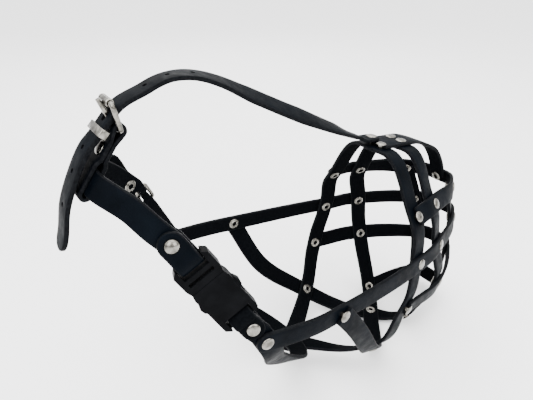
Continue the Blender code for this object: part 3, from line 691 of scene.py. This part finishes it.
def crossing_normals(side):
    """How each basket crossing faces: square to the ring strap and the loop strap that meet there."""
    normals = {}
    columns = {"nose": NOSE_RING, "front": FRONT_RING, "upright": UPRIGHT}
    bridges = {"nose": NOSE_BRIDGE, "front": FRONT_BRIDGE, "upright": UPRIGHT["upper"]}
    behind = {"nose": {**NOSE_RING, "main": JAW_JOIN}, "front": NOSE_RING, "upright": FRONT_RING}
    ahead = {"nose": FRONT_RING, "front": UPRIGHT, "upright": FRONT_CENTRE}
    feet = {"nose": "jaw", "front": "chin", "upright": "lower"}
    rows = ["upper", "main", "lower"]
    for column, points in columns.items():
        for index, row in enumerate(rows):
            above = bridges[column] if row == "upper" else points[rows[index - 1]]
            below = points[feet[column] if row == "lower" else rows[index + 1]]
            ring_way = mirrored(above, side) - mirrored(below, side)
            loop_way = mirrored(ahead[column][row], side) - mirrored(behind[column][row], side)
            normals[column, row] = outward(mirrored(points[row], side), ring_way, loop_way)
    chin_ring = mirrored(FRONT_RING["lower"], side) - mirrored(CHIN_CROSS, side)
    chin_loop = mirrored(UPRIGHT["chin"], side) - mirrored(FRONT_RING["chin"], side)
    normals["front", "chin"] = outward(mirrored(FRONT_RING["chin"], side), chin_ring, chin_loop)
    upright_way = mirrored(UPRIGHT["lower"], side) - mirrored(UPRIGHT["chin"], side)
    chin_bend = mirrored(FRONT_CENTRE["chin"], side) - mirrored(FRONT_RING["chin"], side)
    normals["upright", "chin"] = outward(mirrored(UPRIGHT["chin"], side), upright_way, chin_bend)
    jaw_ring = mirrored(NOSE_RING["lower"], side) - mirrored(THROAT, side)
    jaw_cross = mirrored(JAW_JOIN, side) - mirrored(CHIN_CROSS, side)
    normals["nose", "jaw"] = outward(mirrored(NOSE_RING["jaw"], side), jaw_ring, jaw_cross)
    join_way = mirrored(NOSE_RING["main"], side) - mirrored(CHEEK, side)
    normals["join", "main"] = outward(mirrored(JAW_JOIN, side), join_way, Vector((0, 0, 1)))
    return normals


def cheek_station(side):
    """Where the main strap and the throat strap are riveted together."""
    return Station(mirrored(CHEEK, side), Vector((side, 0.12, 0)))


def basket_stations():
    """Every crossing's station on the ring strap's middle surface, by side, column and row."""
    stations = {}
    for side_name, side in SIDES:
        normals = crossing_normals(side)
        columns = {"nose": NOSE_RING, "front": FRONT_RING, "upright": UPRIGHT}
        for column, points in columns.items():
            for row, values in points.items():
                stations[side_name, column, row] = Station(mirrored(values, side), normals[column, row])
        join = Station(mirrored(JAW_JOIN, side), normals["join", "main"], JOIN_FLAT)
        stations[side_name, "join", "main"] = join
        for column, values in (("nose", NOSE_BRIDGE), ("front", FRONT_BRIDGE)):
            stations[side_name, column, "bridge"] = Station(mirrored(values, side), BRIDGE_UP, BRIDGE_FLAT)
    return stations


def crossing_rivet(name, here, extra=0.0):
    """A rivet through a strap and the one that lies over it, with any extra leather on top."""
    rivet(name, here.point, here.normal, THICK / 2, THICK / 2 + LAYER + extra)


def build_basket_rivets(basket, throat):
    """The rivets where two basket straps cross, and the ones under the jaw and on the bridge."""
    for side_name, _ in SIDES:
        for column in ("nose", "front", "upright"):
            for row in ("upper", "main", "lower", "chin"):
                if (side_name, column, row) in basket:
                    crossing_rivet(f"rivet_{column}_{row}_{side_name}", basket[side_name, column, row])
        crossing_rivet(f"rivet_jaw_join_{side_name}", basket[side_name, "join", "main"])
        crossing_rivet(f"rivet_jaw_{side_name}", basket[side_name, "nose", "jaw"])
    half_stack = LAYER / 2 + THICK / 2
    rivet("rivet_chin_cross", place(*CHIN_CROSS), Vector((0, 0, -1)), half_stack, half_stack)
    rivet("rivet_throat", throat.point, throat.normal, THICK / 2 + LAYER, THICK / 2 + LAYER)
    for side_name, _ in SIDES:
        forehead_end = LAYER if side_name == "left" else 0
        crossing_rivet(f"rivet_bridge_rear_{side_name}", basket[side_name, "nose", "bridge"], forehead_end)
        crossing_rivet(f"rivet_bridge_front_{side_name}", basket[side_name, "front", "bridge"])


def build_rings(basket, throat):
    """The two straps that ring the muzzle. Each is one strap, and its ends meet under the jaw."""
    nose = []
    for side_name, direction in (("right", 1), ("left", -1)):
        half = [basket[side_name, "nose", row] for row in ("jaw", "lower", "main", "upper", "bridge")]
        nose += half[::direction]
    lower_end = offset(throat, LAYER)
    strap("nose_ring_strap", [throat, *nose, lower_end], ends="round")

    cross = Station(place(*CHIN_CROSS), Vector((0, 0, -1)))
    front = []
    for side_name, direction in (("left", 1), ("right", -1)):
        half = [basket[side_name, "front", row] for row in ("chin", "lower", "main", "upper", "bridge")]
        front += half[::direction]
    arms = {}
    for side_name, side in SIDES:
        sag = Station(mirrored(JAW_SAG, side), Vector((side, 0, -0.25)), 0)
        join, jaw = basket[side_name, "join", "main"], basket[side_name, "nose", "jaw"]
        bends = [sag] if side_name == "left" else []
        arms[side_name] = [offset(join, LAYER), *bends, offset(jaw, LAYER)]
    start, end = arms["right"], arms["left"][::-1]
    inner, outer = offset(cross, -LAYER / 2), offset(cross, LAYER / 2)
    strap("front_ring_strap", [*start, inner, *front, outer, *end])


def build_loops(basket):
    """The loops round the nose, the two front uprights and the chin strap."""
    for row, name in (("upper", "upper_strap"), ("lower", "lower_strap"), ("chin", "chin_strap")):
        columns = ("front", "upright") if row == "chin" else ("nose", "front", "upright")
        right = [offset(basket["right", column, row], LAYER) for column in columns]
        left = [offset(basket["left", column, row], LAYER) for column in columns]
        centre = Station(place(*FRONT_CENTRE[row]), front_normal(basket, row))
        strap(name, [*right, offset(centre, LAYER), *reversed(left)])
    main = []
    for side_name, side in SIDES:
        crossings = [basket[side_name, column, "main"] for column in ("nose", "front", "upright")]
        lifted = [offset(here, LAYER) for here in crossings]
        main.append([cheek_station(side), basket[side_name, "join", "main"], *lifted])
    centre = offset(Station(place(*FRONT_CENTRE["main"]), front_normal(basket, "main")), LAYER)
    strap("main_strap", [*main[0], centre, *reversed(main[1])], width=LOOP_STRAP, ends="round")
    for side_name, _ in SIDES:
        rows = [basket[side_name, "upright", row] for row in ("upper", "main", "lower", "chin")]
        strap(f"front_upright_{side_name}", rows, width=LOOP_STRAP)


def front_normal(basket, row):
    """The loops face forward at the middle, tipped as much as they are at the uprights."""
    side = basket["left", "upright", row].normal
    return Vector((0, -1, side.z / max(abs(side.y), 0.3)))


def nose_foot(basket):
    """Where the nose strap ends, under the upper strap."""
    return Station(place(*NOSE_FOOT), front_normal(basket, "upper"), 5)


def nose_strap(basket):
    """A wide plate over the bridge that narrows to a strap down the front of the nose."""
    plate_rear = offset(Station(place(0, *NOSE_BRIDGE[1:]), BRIDGE_UP, 8), LAYER)
    plate_front = offset(Station(place(0, *FRONT_BRIDGE[1:]), BRIDGE_UP), LAYER)
    bends = [
        Station(place(0, 56, 79), Vector((0, -0.45, 1)), 0),
        Station(place(0, 78, 66), Vector((0, -1, 0.9)), 0),
    ]

    def width_at(point):
        """The plate's width over the bridge, and a strap's from the bend down."""
        narrowing = min(max((-point.y / MM - PLATE_END) / PLATE_TAPER, 0), 1)
        return NOSE_PLATE + (STRAP - NOSE_PLATE) * narrowing

    route = [plate_rear, plate_front, *bends, nose_foot(basket)]
    strap("nose_strap", route, width=NOSE_PLATE, width_at=width_at)


# Fittings: each has axes whose Y runs along the strap and whose Z points away from the dog


def clip_axes():
    """Half way up the right cheek, on the line from the basket to the neck strap."""
    low, high = mirrored(CHEEK, -1), place(*CLIP_DOME)
    along = (high - low).normalized()
    centre = low + along * (CLIP_FROM_CHEEK + CLIP_HALF) * MM
    return frame_matrix(centre, along, Vector((-1, 0.2, 0)))


def cheek_axes():
    """The left cheek's buckle: its heel bar is at the origin and its roller bar is nearer the basket."""
    low, high = mirrored(CHEEK, 1), place(*BUCKLE_REAR)
    along = (low - high).normalized()
    return frame_matrix(high + along * BUCKLE_FROM_REAR * MM, along, Vector((1, 0.2, 0)))


def forehead_axes():
    return frame_matrix(place(*FOREHEAD_HEEL), Vector((0, 0.17, 0.985)), Vector((0, 0.985, -0.17)))


def local(axes, y, z, out_y, out_z, flat=0.0, x=0.0):
    """A station given in a fitting's axes, with the way it faces."""
    turn = axes.to_3x3()
    return Station(axes @ (Vector((x, y, z)) * MM), turn @ Vector((0, out_y, out_z)), flat)


def nape_axes():
    heel = place(*FOREHEAD_HEEL)
    down = place(*NAPE_DOWN).normalized()
    return frame_matrix(heel, -down, Vector((0, 0.8, 0.6)))


def throat_strap(throat, clip, cheek):
    """It ends in a fold on the clip on the right, and in a punched billet on the left."""
    sags = {}
    cheeks = {}
    for side_name, side in SIDES:
        sags[side_name] = Station(mirrored(THROAT_SAG, side), Vector((side, 0, -0.55)), 0)
        here = cheek_station(side)
        cheeks[side_name] = offset(here, -LAYER)
        rivet(f"rivet_cheek_{side_name}", here.point, here.normal, THICK / 2 + LAYER, THICK / 2)
    fold = BAR / 2 - CLIP_HALF
    leaf = FOLD_RADIUS
    ramp = 9
    fold_rivet = local(clip, CLIP_RIVET, 0, 0, 1)
    rivet("rivet_clip_lower", fold_rivet.point, fold_rivet.normal, THICK + GAP / 2, THICK + GAP / 2)
    right = [
        local(clip, CLIP_RIVET, -LAYER / 2, 0, 1, 5.2),
        local(clip, fold - BAR / 2, -leaf, 0, 1),
        local(clip, fold + leaf, 0, -1, 0),
        local(clip, fold - BAR / 2, leaf, 0, -1),
        local(clip, CLIP_RIVET, LAYER / 2, 0, -1, 5.2),
    ]
    slot_y, slot_z = 7.3, 1.7
    left = [
        local(cheek, BUCKLE_LENGTH + ramp, -4.6, 0, 1),
        local(cheek, BUCKLE_LENGTH, -4.7, 0.15, 1),
        local(cheek, slot_y, slot_z, 0.72, 0.72, 2.2),
        local(cheek, -1.5, 7.4, 0.15, 1),
        local(cheek, -14, 6.9, 0, 1, 4),
        local(cheek, -34, 4.6, 0, 1, 4),
    ]
    start = offset(throat, -LAYER)
    route = [*reversed(right), cheeks["right"], sags["right"], start, sags["left"], cheeks["left"], *left]
    strap("throat_strap", route, ends="round")
    punch_slot("throat_strap", cheek, slot_y, slot_z)


def punch_slot(name, axes, y, z):
    """The oval hole that a buckle's tongue passes through."""
    turn = axes.to_3x3()
    across = turn @ Vector((1, 0, 0))
    normal = turn @ Vector((0, 0.72, 0.72)).normalized()
    along = normal.cross(across)
    punch(name, axes @ (Vector((0, y, z)) * MM), normal, SLOT_WIDTH / 2, along, SLOT_REACH)


def punch_eye_slot(name, axes):
    """The slot at a fold round a buckle's heel bar, which leaves room for the tongue's eye."""
    turn = axes.to_3x3()
    middle = axes @ (Vector((0, EYE_SLOT_REACH - EYE_SLOT_FRONT, 0)) * MM)
    punch(name, middle, turn @ Vector((0, 0, 1)), SLOT_WIDTH / 2, turn @ Vector((0, 1, 0)), EYE_SLOT_REACH)


def face_path(route, rolls):
    """Turns every station that isn't flat square to the path, and leans it by its roll."""
    for before, here, after in zip(route, route[1:], route[2:]):
        if here.flat:
            continue
        square = Vector((1, 0, 0)).cross(after.point - before.point).normalized()
        square = square if square.dot(Vector((0, 1, 1))) > 0 else -square
        here.normal = (square - Vector((rolls.get(here, 0), 0, 0))).normalized()
    route[-1].normal = route[-2].normal


def forehead_strap():
    """From the bridge over the head, through the buckle, to a tail that hangs behind the nape."""
    up = Vector((0, 0, 1))
    end = offset(Station(place(*NOSE_BRIDGE), BRIDGE_UP, 9), 2 * LAYER)
    rising = [Station(place(*point), up, 0) for point in FOREHEAD_LINE]
    rolls = dict(zip(rising, FOREHEAD_ROLL))
    crossing = Station(place(*FOREHEAD_CROSSING), Vector((0, 0.72, 0.69)), 3)
    kept = Station(place(*FOREHEAD_KEEPER), Vector((0, 0.72, 0.69)), 3.5)
    falling = [Station(place(*point), Vector((0, 1, 0.3)), 0) for point in FOREHEAD_TAIL]
    route = [end, *rising, crossing, kept, *falling]
    face_path(route, rolls)
    for point in FOREHEAD_HOLES:
        nearest = min(route, key=lambda here: (here.point - place(*point)).length)
        punch("forehead_strap", place(*point), nearest.normal, ADJUSTING_HOLE)
    punch("forehead_strap", crossing.point, crossing.normal, SLOT_WIDTH / 2, TAIL_WAY, SLOT_REACH)

    def width_at(point):
        """Trimmed where it passes between the bridge rivets."""
        widening = min(max(point.y / MM - TRIM_END, 0) / TRIM_TAPER, 1)
        return TRIMMED_STRAP + (STRAP - TRIMMED_STRAP) * widening

    strap("forehead_strap", route, ends="round", width_at=width_at)


def forehead_tab():
    """A closed band that holds the buckle's heel bar at one end and rides the neck strap at the other."""
    nape = nape_axes()
    thick = 2.5
    eye = WIRE + GAP + thick / 2
    sleeve = THICK / 2 + GAP + thick / 2
    pinch = (thick + GAP) / 2
    low, high = NAPE_REACH + NECK_STRAP / 2 + 0.4, NAPE_REACH - NECK_STRAP / 2 - 2
    pinch_y = -14.5
    rivet_at = local(nape, pinch_y, 0, 0, 1)
    rivet("rivet_forehead_tab", rivet_at.point, rivet_at.normal, pinch + thick / 2, pinch + thick / 2)
    route = [
        local(nape, 0, eye, 0, 1),
        local(nape, pinch_y, pinch, 0, 1, 4.6),
        local(nape, -high, sleeve, 0, 1),
        local(nape, -low, sleeve, 0, 1),
        local(nape, -low - sleeve, 0, -1, 0),
        local(nape, -low, -sleeve, 0, -1),
        local(nape, -high, -sleeve, 0, -1),
        local(nape, pinch_y, -pinch, 0, -1, 4.6),
        local(nape, 0, -eye, 0, -1),
        local(nape, eye, 0, 1, 0),
    ]
    strap("forehead_tab", route, width=TAB, thick=thick, closed=True)
    punch_eye_slot("forehead_tab", nape)


def clip_tab(clip):
    """The round-ended leather tab that wraps the clip's upper bar and takes the end of the neck strap."""
    fold = CLIP_HALF - BAR / 2
    leaf = FOLD_RADIUS
    end = (place(*CLIP_DOME) - clip.translation).dot(clip.to_3x3() @ Vector((0, 1, 0))) / MM
    dome = local(clip, end, 0, 0, 1)
    rivet("rivet_clip_upper", dome.point, dome.normal, THICK / 2 + LAYER, THICK / 2 + LAYER, dome=True)
    route = [
        local(clip, end, LAYER, 0, 1, 6),
        local(clip, fold + BAR / 2, leaf, 0, 1),
        local(clip, fold - leaf, 0, -1, 0),
        local(clip, fold + BAR / 2, -leaf, 0, -1),
        local(clip, end, -LAYER, 0, -1, 6),
    ]
    strap("clip_tab", route, width=TAB, ends="round")


def neck_strap(clip, cheek):
    """Round the back of the neck, from the clip's tab to a fold on the left cheek's buckle."""
    nape = nape_axes()
    turn = clip.to_3x3()
    middle = local(nape, -NAPE_REACH, 0, 0, 1, 10)
    right_end = Station(place(*CLIP_DOME), turn @ Vector((0, 0, 1)), 11)
    right_bend = Station(place(-32, -229.5, 113), Vector((-0.75, 0.6, 0.35)), 0)
    left_bend = Station(place(29, -229, 114), Vector((0.75, 0.6, 0.35)), 0)
    leaf = WIRE + GAP + THICK / 2
    pin_y = -13
    pin = local(cheek, pin_y, 0, 0, 1)
    rivet("rivet_cheek_buckle", pin.point, pin.normal, THICK + GAP / 2, THICK + GAP / 2)
    fold = [
        local(cheek, pin_y, -LAYER / 2, 0, 1, 5),
        local(cheek, 0, -leaf, 0, 1),
        local(cheek, leaf, 0, -1, 0),
        local(cheek, 0, leaf, 0, -1),
        local(cheek, pin_y, LAYER / 2, 0, -1, 5),
    ]
    route = [right_end, right_bend, middle, left_bend, *fold]
    strap("neck_strap", route, width=NECK_STRAP, ends="round_start")
    punch_eye_slot("neck_strap", cheek)


def rod_ring(mesh, axes, half_x, low_y, high_y, radius, corner):
    """A rounded rectangle of wire in the axes' XY plane."""
    centres = ((half_x, high_y), (-half_x, high_y), (-half_x, low_y), (half_x, low_y))
    inner = ((-corner, -corner), (corner, -corner), (corner, corner), (-corner, corner))
    round_wire = circle(radius, WIRE_SIDES, 0)
    rings = []
    for turn, ((x, y), (dx, dy)) in enumerate(zip(centres, inner)):
        for angle in (0, 18, 36, 54, 72, 90):
            way = math.radians(turn * 90 + angle)
            middle = Vector((x + dx + corner * math.cos(way), y + dy + corner * math.sin(way), 0))
            side = Vector((math.cos(way), math.sin(way), 0))
            rings.append([middle + side * across + Vector((0, 0, up)) for across, up, _ in round_wire])
    add_loft(mesh, rings, axes, closed=True)


def roller_buckle(prefix, axes):
    """A wire frame, a tube that rolls on its front bar, and a tongue that swings on its heel bar."""
    mesh = bmesh.new()
    rod_ring(mesh, axes, BUCKLE_INNER / 2 + WIRE, 0, BUCKLE_LENGTH, WIRE, WIRE_CORNER)
    add_object(f"{prefix}_buckle_frame", mesh, nickel())
    buckle_roller(prefix, axes)
    buckle_tongue(prefix, axes)


def buckle_roller(prefix, axes):
    turn = axes.to_3x3()
    across = turn @ Vector((1, 0, 0))
    bar = frame_matrix(axes @ Vector((0, BUCKLE_LENGTH * MM, 0)), turn @ Vector((0, 1, 0)), across)
    half = BUCKLE_INNER / 2 - 2
    profile = [
        (ROLLER_RADIUS - 0.25, -half),
        (ROLLER_RADIUS, -half + 0.25),
        (ROLLER_RADIUS, half - 0.25),
        (ROLLER_RADIUS - 0.25, half),
        (BORE_RADIUS, half),
        (BORE_RADIUS, -half),
    ]
    mesh = bmesh.new()
    add_loft(mesh, [circle(r, ROUND_SIDES, z) for r, z in profile], bar, closed=True)
    add_object(f"{prefix}_buckle_roller", mesh, nickel())


def buckle_tongue(prefix, axes):
    """A flat tongue from its bored eye to its tip, which lies over the roller."""
    half_width = TONGUE_WIDTH / 2
    eye = BORE_RADIUS + 1.2
    slope = math.atan2(TONGUE_TIP_RISE, BUCKLE_LENGTH)
    tip = Vector((0, math.cos(slope), math.sin(slope))) * TONGUE_LENGTH
    turns = [slope + math.radians(degrees) for degrees in range(40, 321, 14)]
    rise = Vector((0, -math.sin(slope), math.cos(slope))) * TONGUE_THICK / 2
    outline = [(eye * math.cos(turn), eye * math.sin(turn)) for turn in turns]
    outline += [(point.y, point.z) for point in (tip - rise, tip + rise)]
    mesh = bmesh.new()
    add_loft(mesh, [[(x, y, z) for y, z in outline] for x in (-half_width, half_width)], axes)
    tongue = add_object(f"{prefix}_buckle_tongue", mesh, nickel())
    turned = axes.to_3x3()
    heel = frame_matrix(axes.translation, turned @ Vector((0, 1, 0)), turned @ Vector((1, 0, 0)))
    bore = bmesh.new()
    add_loft(bore, [circle(BORE_RADIUS, ROUND_SIDES, z) for z in (-4, 4)], heel)
    cut(tongue, add_object(f"{prefix}_tongue_bore", bore, nickel()))
    soften(tongue, 0.55, 3)


def forehead_keeper():
    """A flat metal loop round the forehead strap, just past its buckle."""
    axes = frame_matrix(place(*FOREHEAD_KEEPER), Vector((1, 0, 0)), TAIL_WAY)
    half_long, half_deep = KEEPER_HALF, THICK / 2 + GAP
    rings = []
    for wall, height in ((0, -1), (KEEPER_WALL, -1), (KEEPER_WALL, 1), (0, 1)):
        outline = rounded_box(half_deep + wall, half_long + wall, 0.3 + wall * 0.8)
        rings.append([(x, y, height * KEEPER_WIDTH / 2) for x, y in outline])
    mesh = bmesh.new()
    add_loft(mesh, rings, axes, closed=True)
    keeper = add_object("forehead_keeper", mesh, nickel())
    soften(keeper, 0.22, 2)


def rounded_box(half_x, half_y, radius):
    """The outline of a box with three points at each rounded corner."""
    tuck = radius * 0.3
    corner = [(half_x, half_y - radius), (half_x - tuck, half_y - tuck), (half_x - radius, half_y)]
    right = corner + [(-x, y) for x, y in reversed(corner)]
    return right + [(-x, -y) for x, y in right]


def side_release_clip(clip):
    """A socket, a plug with a slotted frame, and the plug's two spring arms in the socket's windows."""
    clip_socket(clip)
    clip_plug(clip)
    for name, side in (("front", 1), ("rear", -1)):
        clip_arm(f"clip_arm_{name}", clip, side)


def clip_block(name, clip, outline, half_thick=CLIP_THICK / 2):
    mesh = bmesh.new()
    add_loft(mesh, [[(x, y, z) for x, y in outline] for z in (-half_thick, half_thick)], clip)
    return add_object(name, mesh, plastic())


def clip_box(name, clip, low, high):
    mesh = bmesh.new()
    add_box(mesh, low, high, clip)
    return add_object(name, mesh, plastic())


def clip_outline(low, high):
    """A clip half seen from the front: chamfered at its foot and slightly waisted."""
    half = CLIP_WIDTH / 2
    right = [(half - 3, low), (half, low + 3), (half, high - 4), (half - 1, high)]
    return right + [(-x, y) for x, y in reversed(right)]


def clip_socket(clip):
    """The half at the throat strap: hollow, with a window at each side for the plug's arms."""
    socket = clip_block("clip_socket", clip, clip_outline(-CLIP_HALF, SOCKET_TOP))
    cavity_end = (CAVITY_X, SOCKET_TOP + 5, CAVITY_Z)
    cut(socket, clip_box("clip_cavity", clip, (-CAVITY_X, CAVITY_START, -CAVITY_Z), cavity_end))
    beyond = CLIP_WIDTH / 2 + 3
    window = ((-beyond, WINDOW_LOW, -CAVITY_Z), (beyond, WINDOW_HIGH, CAVITY_Z))
    cut(socket, clip_box("clip_windows", clip, *window))
    add_crossbar(socket, clip, -1)
    soften(socket, 0.7, 3)


def clip_plug(clip):
    """The half at the clip tab: a frame with a short slot, and a guide that runs into the socket."""
    outline = [(x, -y) for x, y in reversed(clip_outline(-CLIP_HALF, -PLUG_BASE))]
    plug = clip_block("clip_plug", clip, outline)
    slot = ((-BAR_HALF, PLUG_SLOT_LOW, -CUT_DEPTH), (BAR_HALF, PLUG_SLOT_HIGH, CUT_DEPTH))
    cut(plug, clip_box("clip_plug_slot", clip, *slot))
    add_crossbar(plug, clip, 1)
    guide = ((-GUIDE_X, GUIDE_TIP, -GUIDE_Z), (GUIDE_X, PLUG_BASE + 2, GUIDE_Z))
    join(plug, clip_box("clip_guide", clip, *guide))
    soften(plug, 0.7, 3)


def add_crossbar(body, clip, side):
    """Opens the end of a clip half and bridges it with the bar that the leather folds round."""
    low, high = sorted((side * BAR_SLOT, side * (CLIP_HALF + 1)))
    notch = ((-BAR_HALF, low, -CUT_DEPTH), (BAR_HALF, high, CUT_DEPTH))
    cut(body, clip_box(body.name + "_notch", clip, *notch))
    low, high = sorted((side * (CLIP_HALF - BAR), side * CLIP_HALF))
    bar = ((-BAR_HALF - 1, low, -BAR / 2), (BAR_HALF + 1, high, BAR / 2))
    join(body, clip_box(body.name + "_bar", clip, *bar))


def clip_arm(name, clip, side):
    """A springy arm whose thumb lobe fills the window, and whose root turns on an axis across the clip."""
    half = CLIP_WIDTH / 2
    inner = CAVITY_X - ARM_THICK - 0.6
    outline = [
        (inner, ARM_ROOT),
        (inner, ARM_TIP),
        (CAVITY_X - 0.9, ARM_TIP),
        (half + 1.6, ARM_TIP + 4),
        (half + 2.2, ARM_TIP + 7.5),
        (half + 0.8, ARM_TIP + 11.5),
        (CAVITY_X - 0.9, 1.9),
        (CAVITY_X - 0.6, 3.5),
        (CAVITY_X - 0.6, ARM_ROOT),
    ]
    arm = clip_block(name, clip, [(x * side, y) for x, y in outline], CAVITY_Z - GAP)
    soften(arm, 0.6, 3)


# The floor, the light and the camera


def pale_floor():
    """Nearly white and matt."""
    made, _, _, shader = start_material("pale_floor")
    shader.inputs["Base Color"].default_value = (0.93, 0.93, 0.935, 1)
    shader.inputs["Roughness"].default_value = 0.85
    shader.inputs["Specular IOR Level"].default_value = 0.2
    return made


def soft_room():
    """A room that is white overhead and dimmer near the horizon, which gives the nickel its dark bands."""
    world = bpy.data.worlds.new("soft_white_room")
    world.use_nodes = True
    nodes, links = world.node_tree.nodes, world.node_tree.links
    where = nodes.new("ShaderNodeTexCoord")
    parts = nodes.new("ShaderNodeSeparateXYZ")
    links.new(where.outputs["Generated"], parts.inputs["Vector"])
    rise = nodes.new("ShaderNodeValToRGB")
    rise.color_ramp.elements[0].position = HORIZON
    rise.color_ramp.elements[0].color = (*[HORIZON_LIGHT] * 3, 1)
    rise.color_ramp.elements[1].position = CEILING
    rise.color_ramp.elements[1].color = (1, 1, 1, 1)
    links.new(parts.outputs["Z"], rise.inputs["Fac"])
    back = nodes["Background"]
    links.new(rise.outputs["Color"], back.inputs["Color"])
    back.inputs["Strength"].default_value = ROOM_LIGHT
    return world


def studio():
    """The floor just under the muzzle, the lamps and the room."""
    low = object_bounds()[0][2] - FLOOR_DROP
    mesh = bmesh.new()
    corners = ((-1, -1), (1, -1), (1, 1), (-1, 1))
    mesh.faces.new([mesh.verts.new((x * FLOOR_HALF, y * FLOOR_HALF, low)) for x, y in corners])
    data = bpy.data.meshes.new("studio_floor")
    mesh.to_mesh(data)
    mesh.free()
    data.materials.append(pale_floor())
    floor = bpy.data.objects.new("studio_floor", data)
    bpy.context.scene.collection.objects.link(floor)
    target = Vector(LAMP_TARGET)
    for name, place_at, size, energy in LAMPS:
        lamp = bpy.data.lights.new(name, "AREA")
        lamp.shape = "SQUARE"
        lamp.size = size
        lamp.energy = energy
        made = bpy.data.objects.new(name, lamp)
        made.location = place_at
        made.rotation_euler = (target - made.location).to_track_quat("-Z", "Y").to_euler()
        bpy.context.scene.collection.objects.link(made)
    bpy.context.scene.world = soft_room()


def camera():
    """Behind the dog's right shoulder and above, looking forward into the basket."""
    data = bpy.data.cameras.new("view_camera")
    data.sensor_width = SENSOR_WIDTH
    data.lens = CAMERA_LENS
    data.clip_start = 0.01
    made = bpy.data.objects.new("view_camera", data)
    made.location = CAMERA_PLACE
    made.rotation_euler = Vector(CAMERA_WAY).to_track_quat("-Z", "Y").to_euler()
    bpy.context.scene.collection.objects.link(made)
    bpy.context.scene.camera = made


def build_muzzle():
    basket = basket_stations()
    throat = Station(place(*THROAT), Vector((0, 0, -1)), 6)
    build_basket_rivets(basket, throat)
    crossing_rivet("rivet_nose_foot", nose_foot(basket))
    build_rings(basket, throat)
    build_loops(basket)
    nose_strap(basket)
    clip = clip_axes()
    forehead = forehead_axes()
    cheek = cheek_axes()
    throat_strap(throat, clip, cheek)
    forehead_strap()
    forehead_tab()
    clip_tab(clip)
    neck_strap(clip, cheek)
    roller_buckle("forehead", forehead)
    roller_buckle("cheek", cheek)
    forehead_keeper()
    side_release_clip(clip)
    cut_slots()
    finish_pieces()


build_muzzle()
studio()
camera()
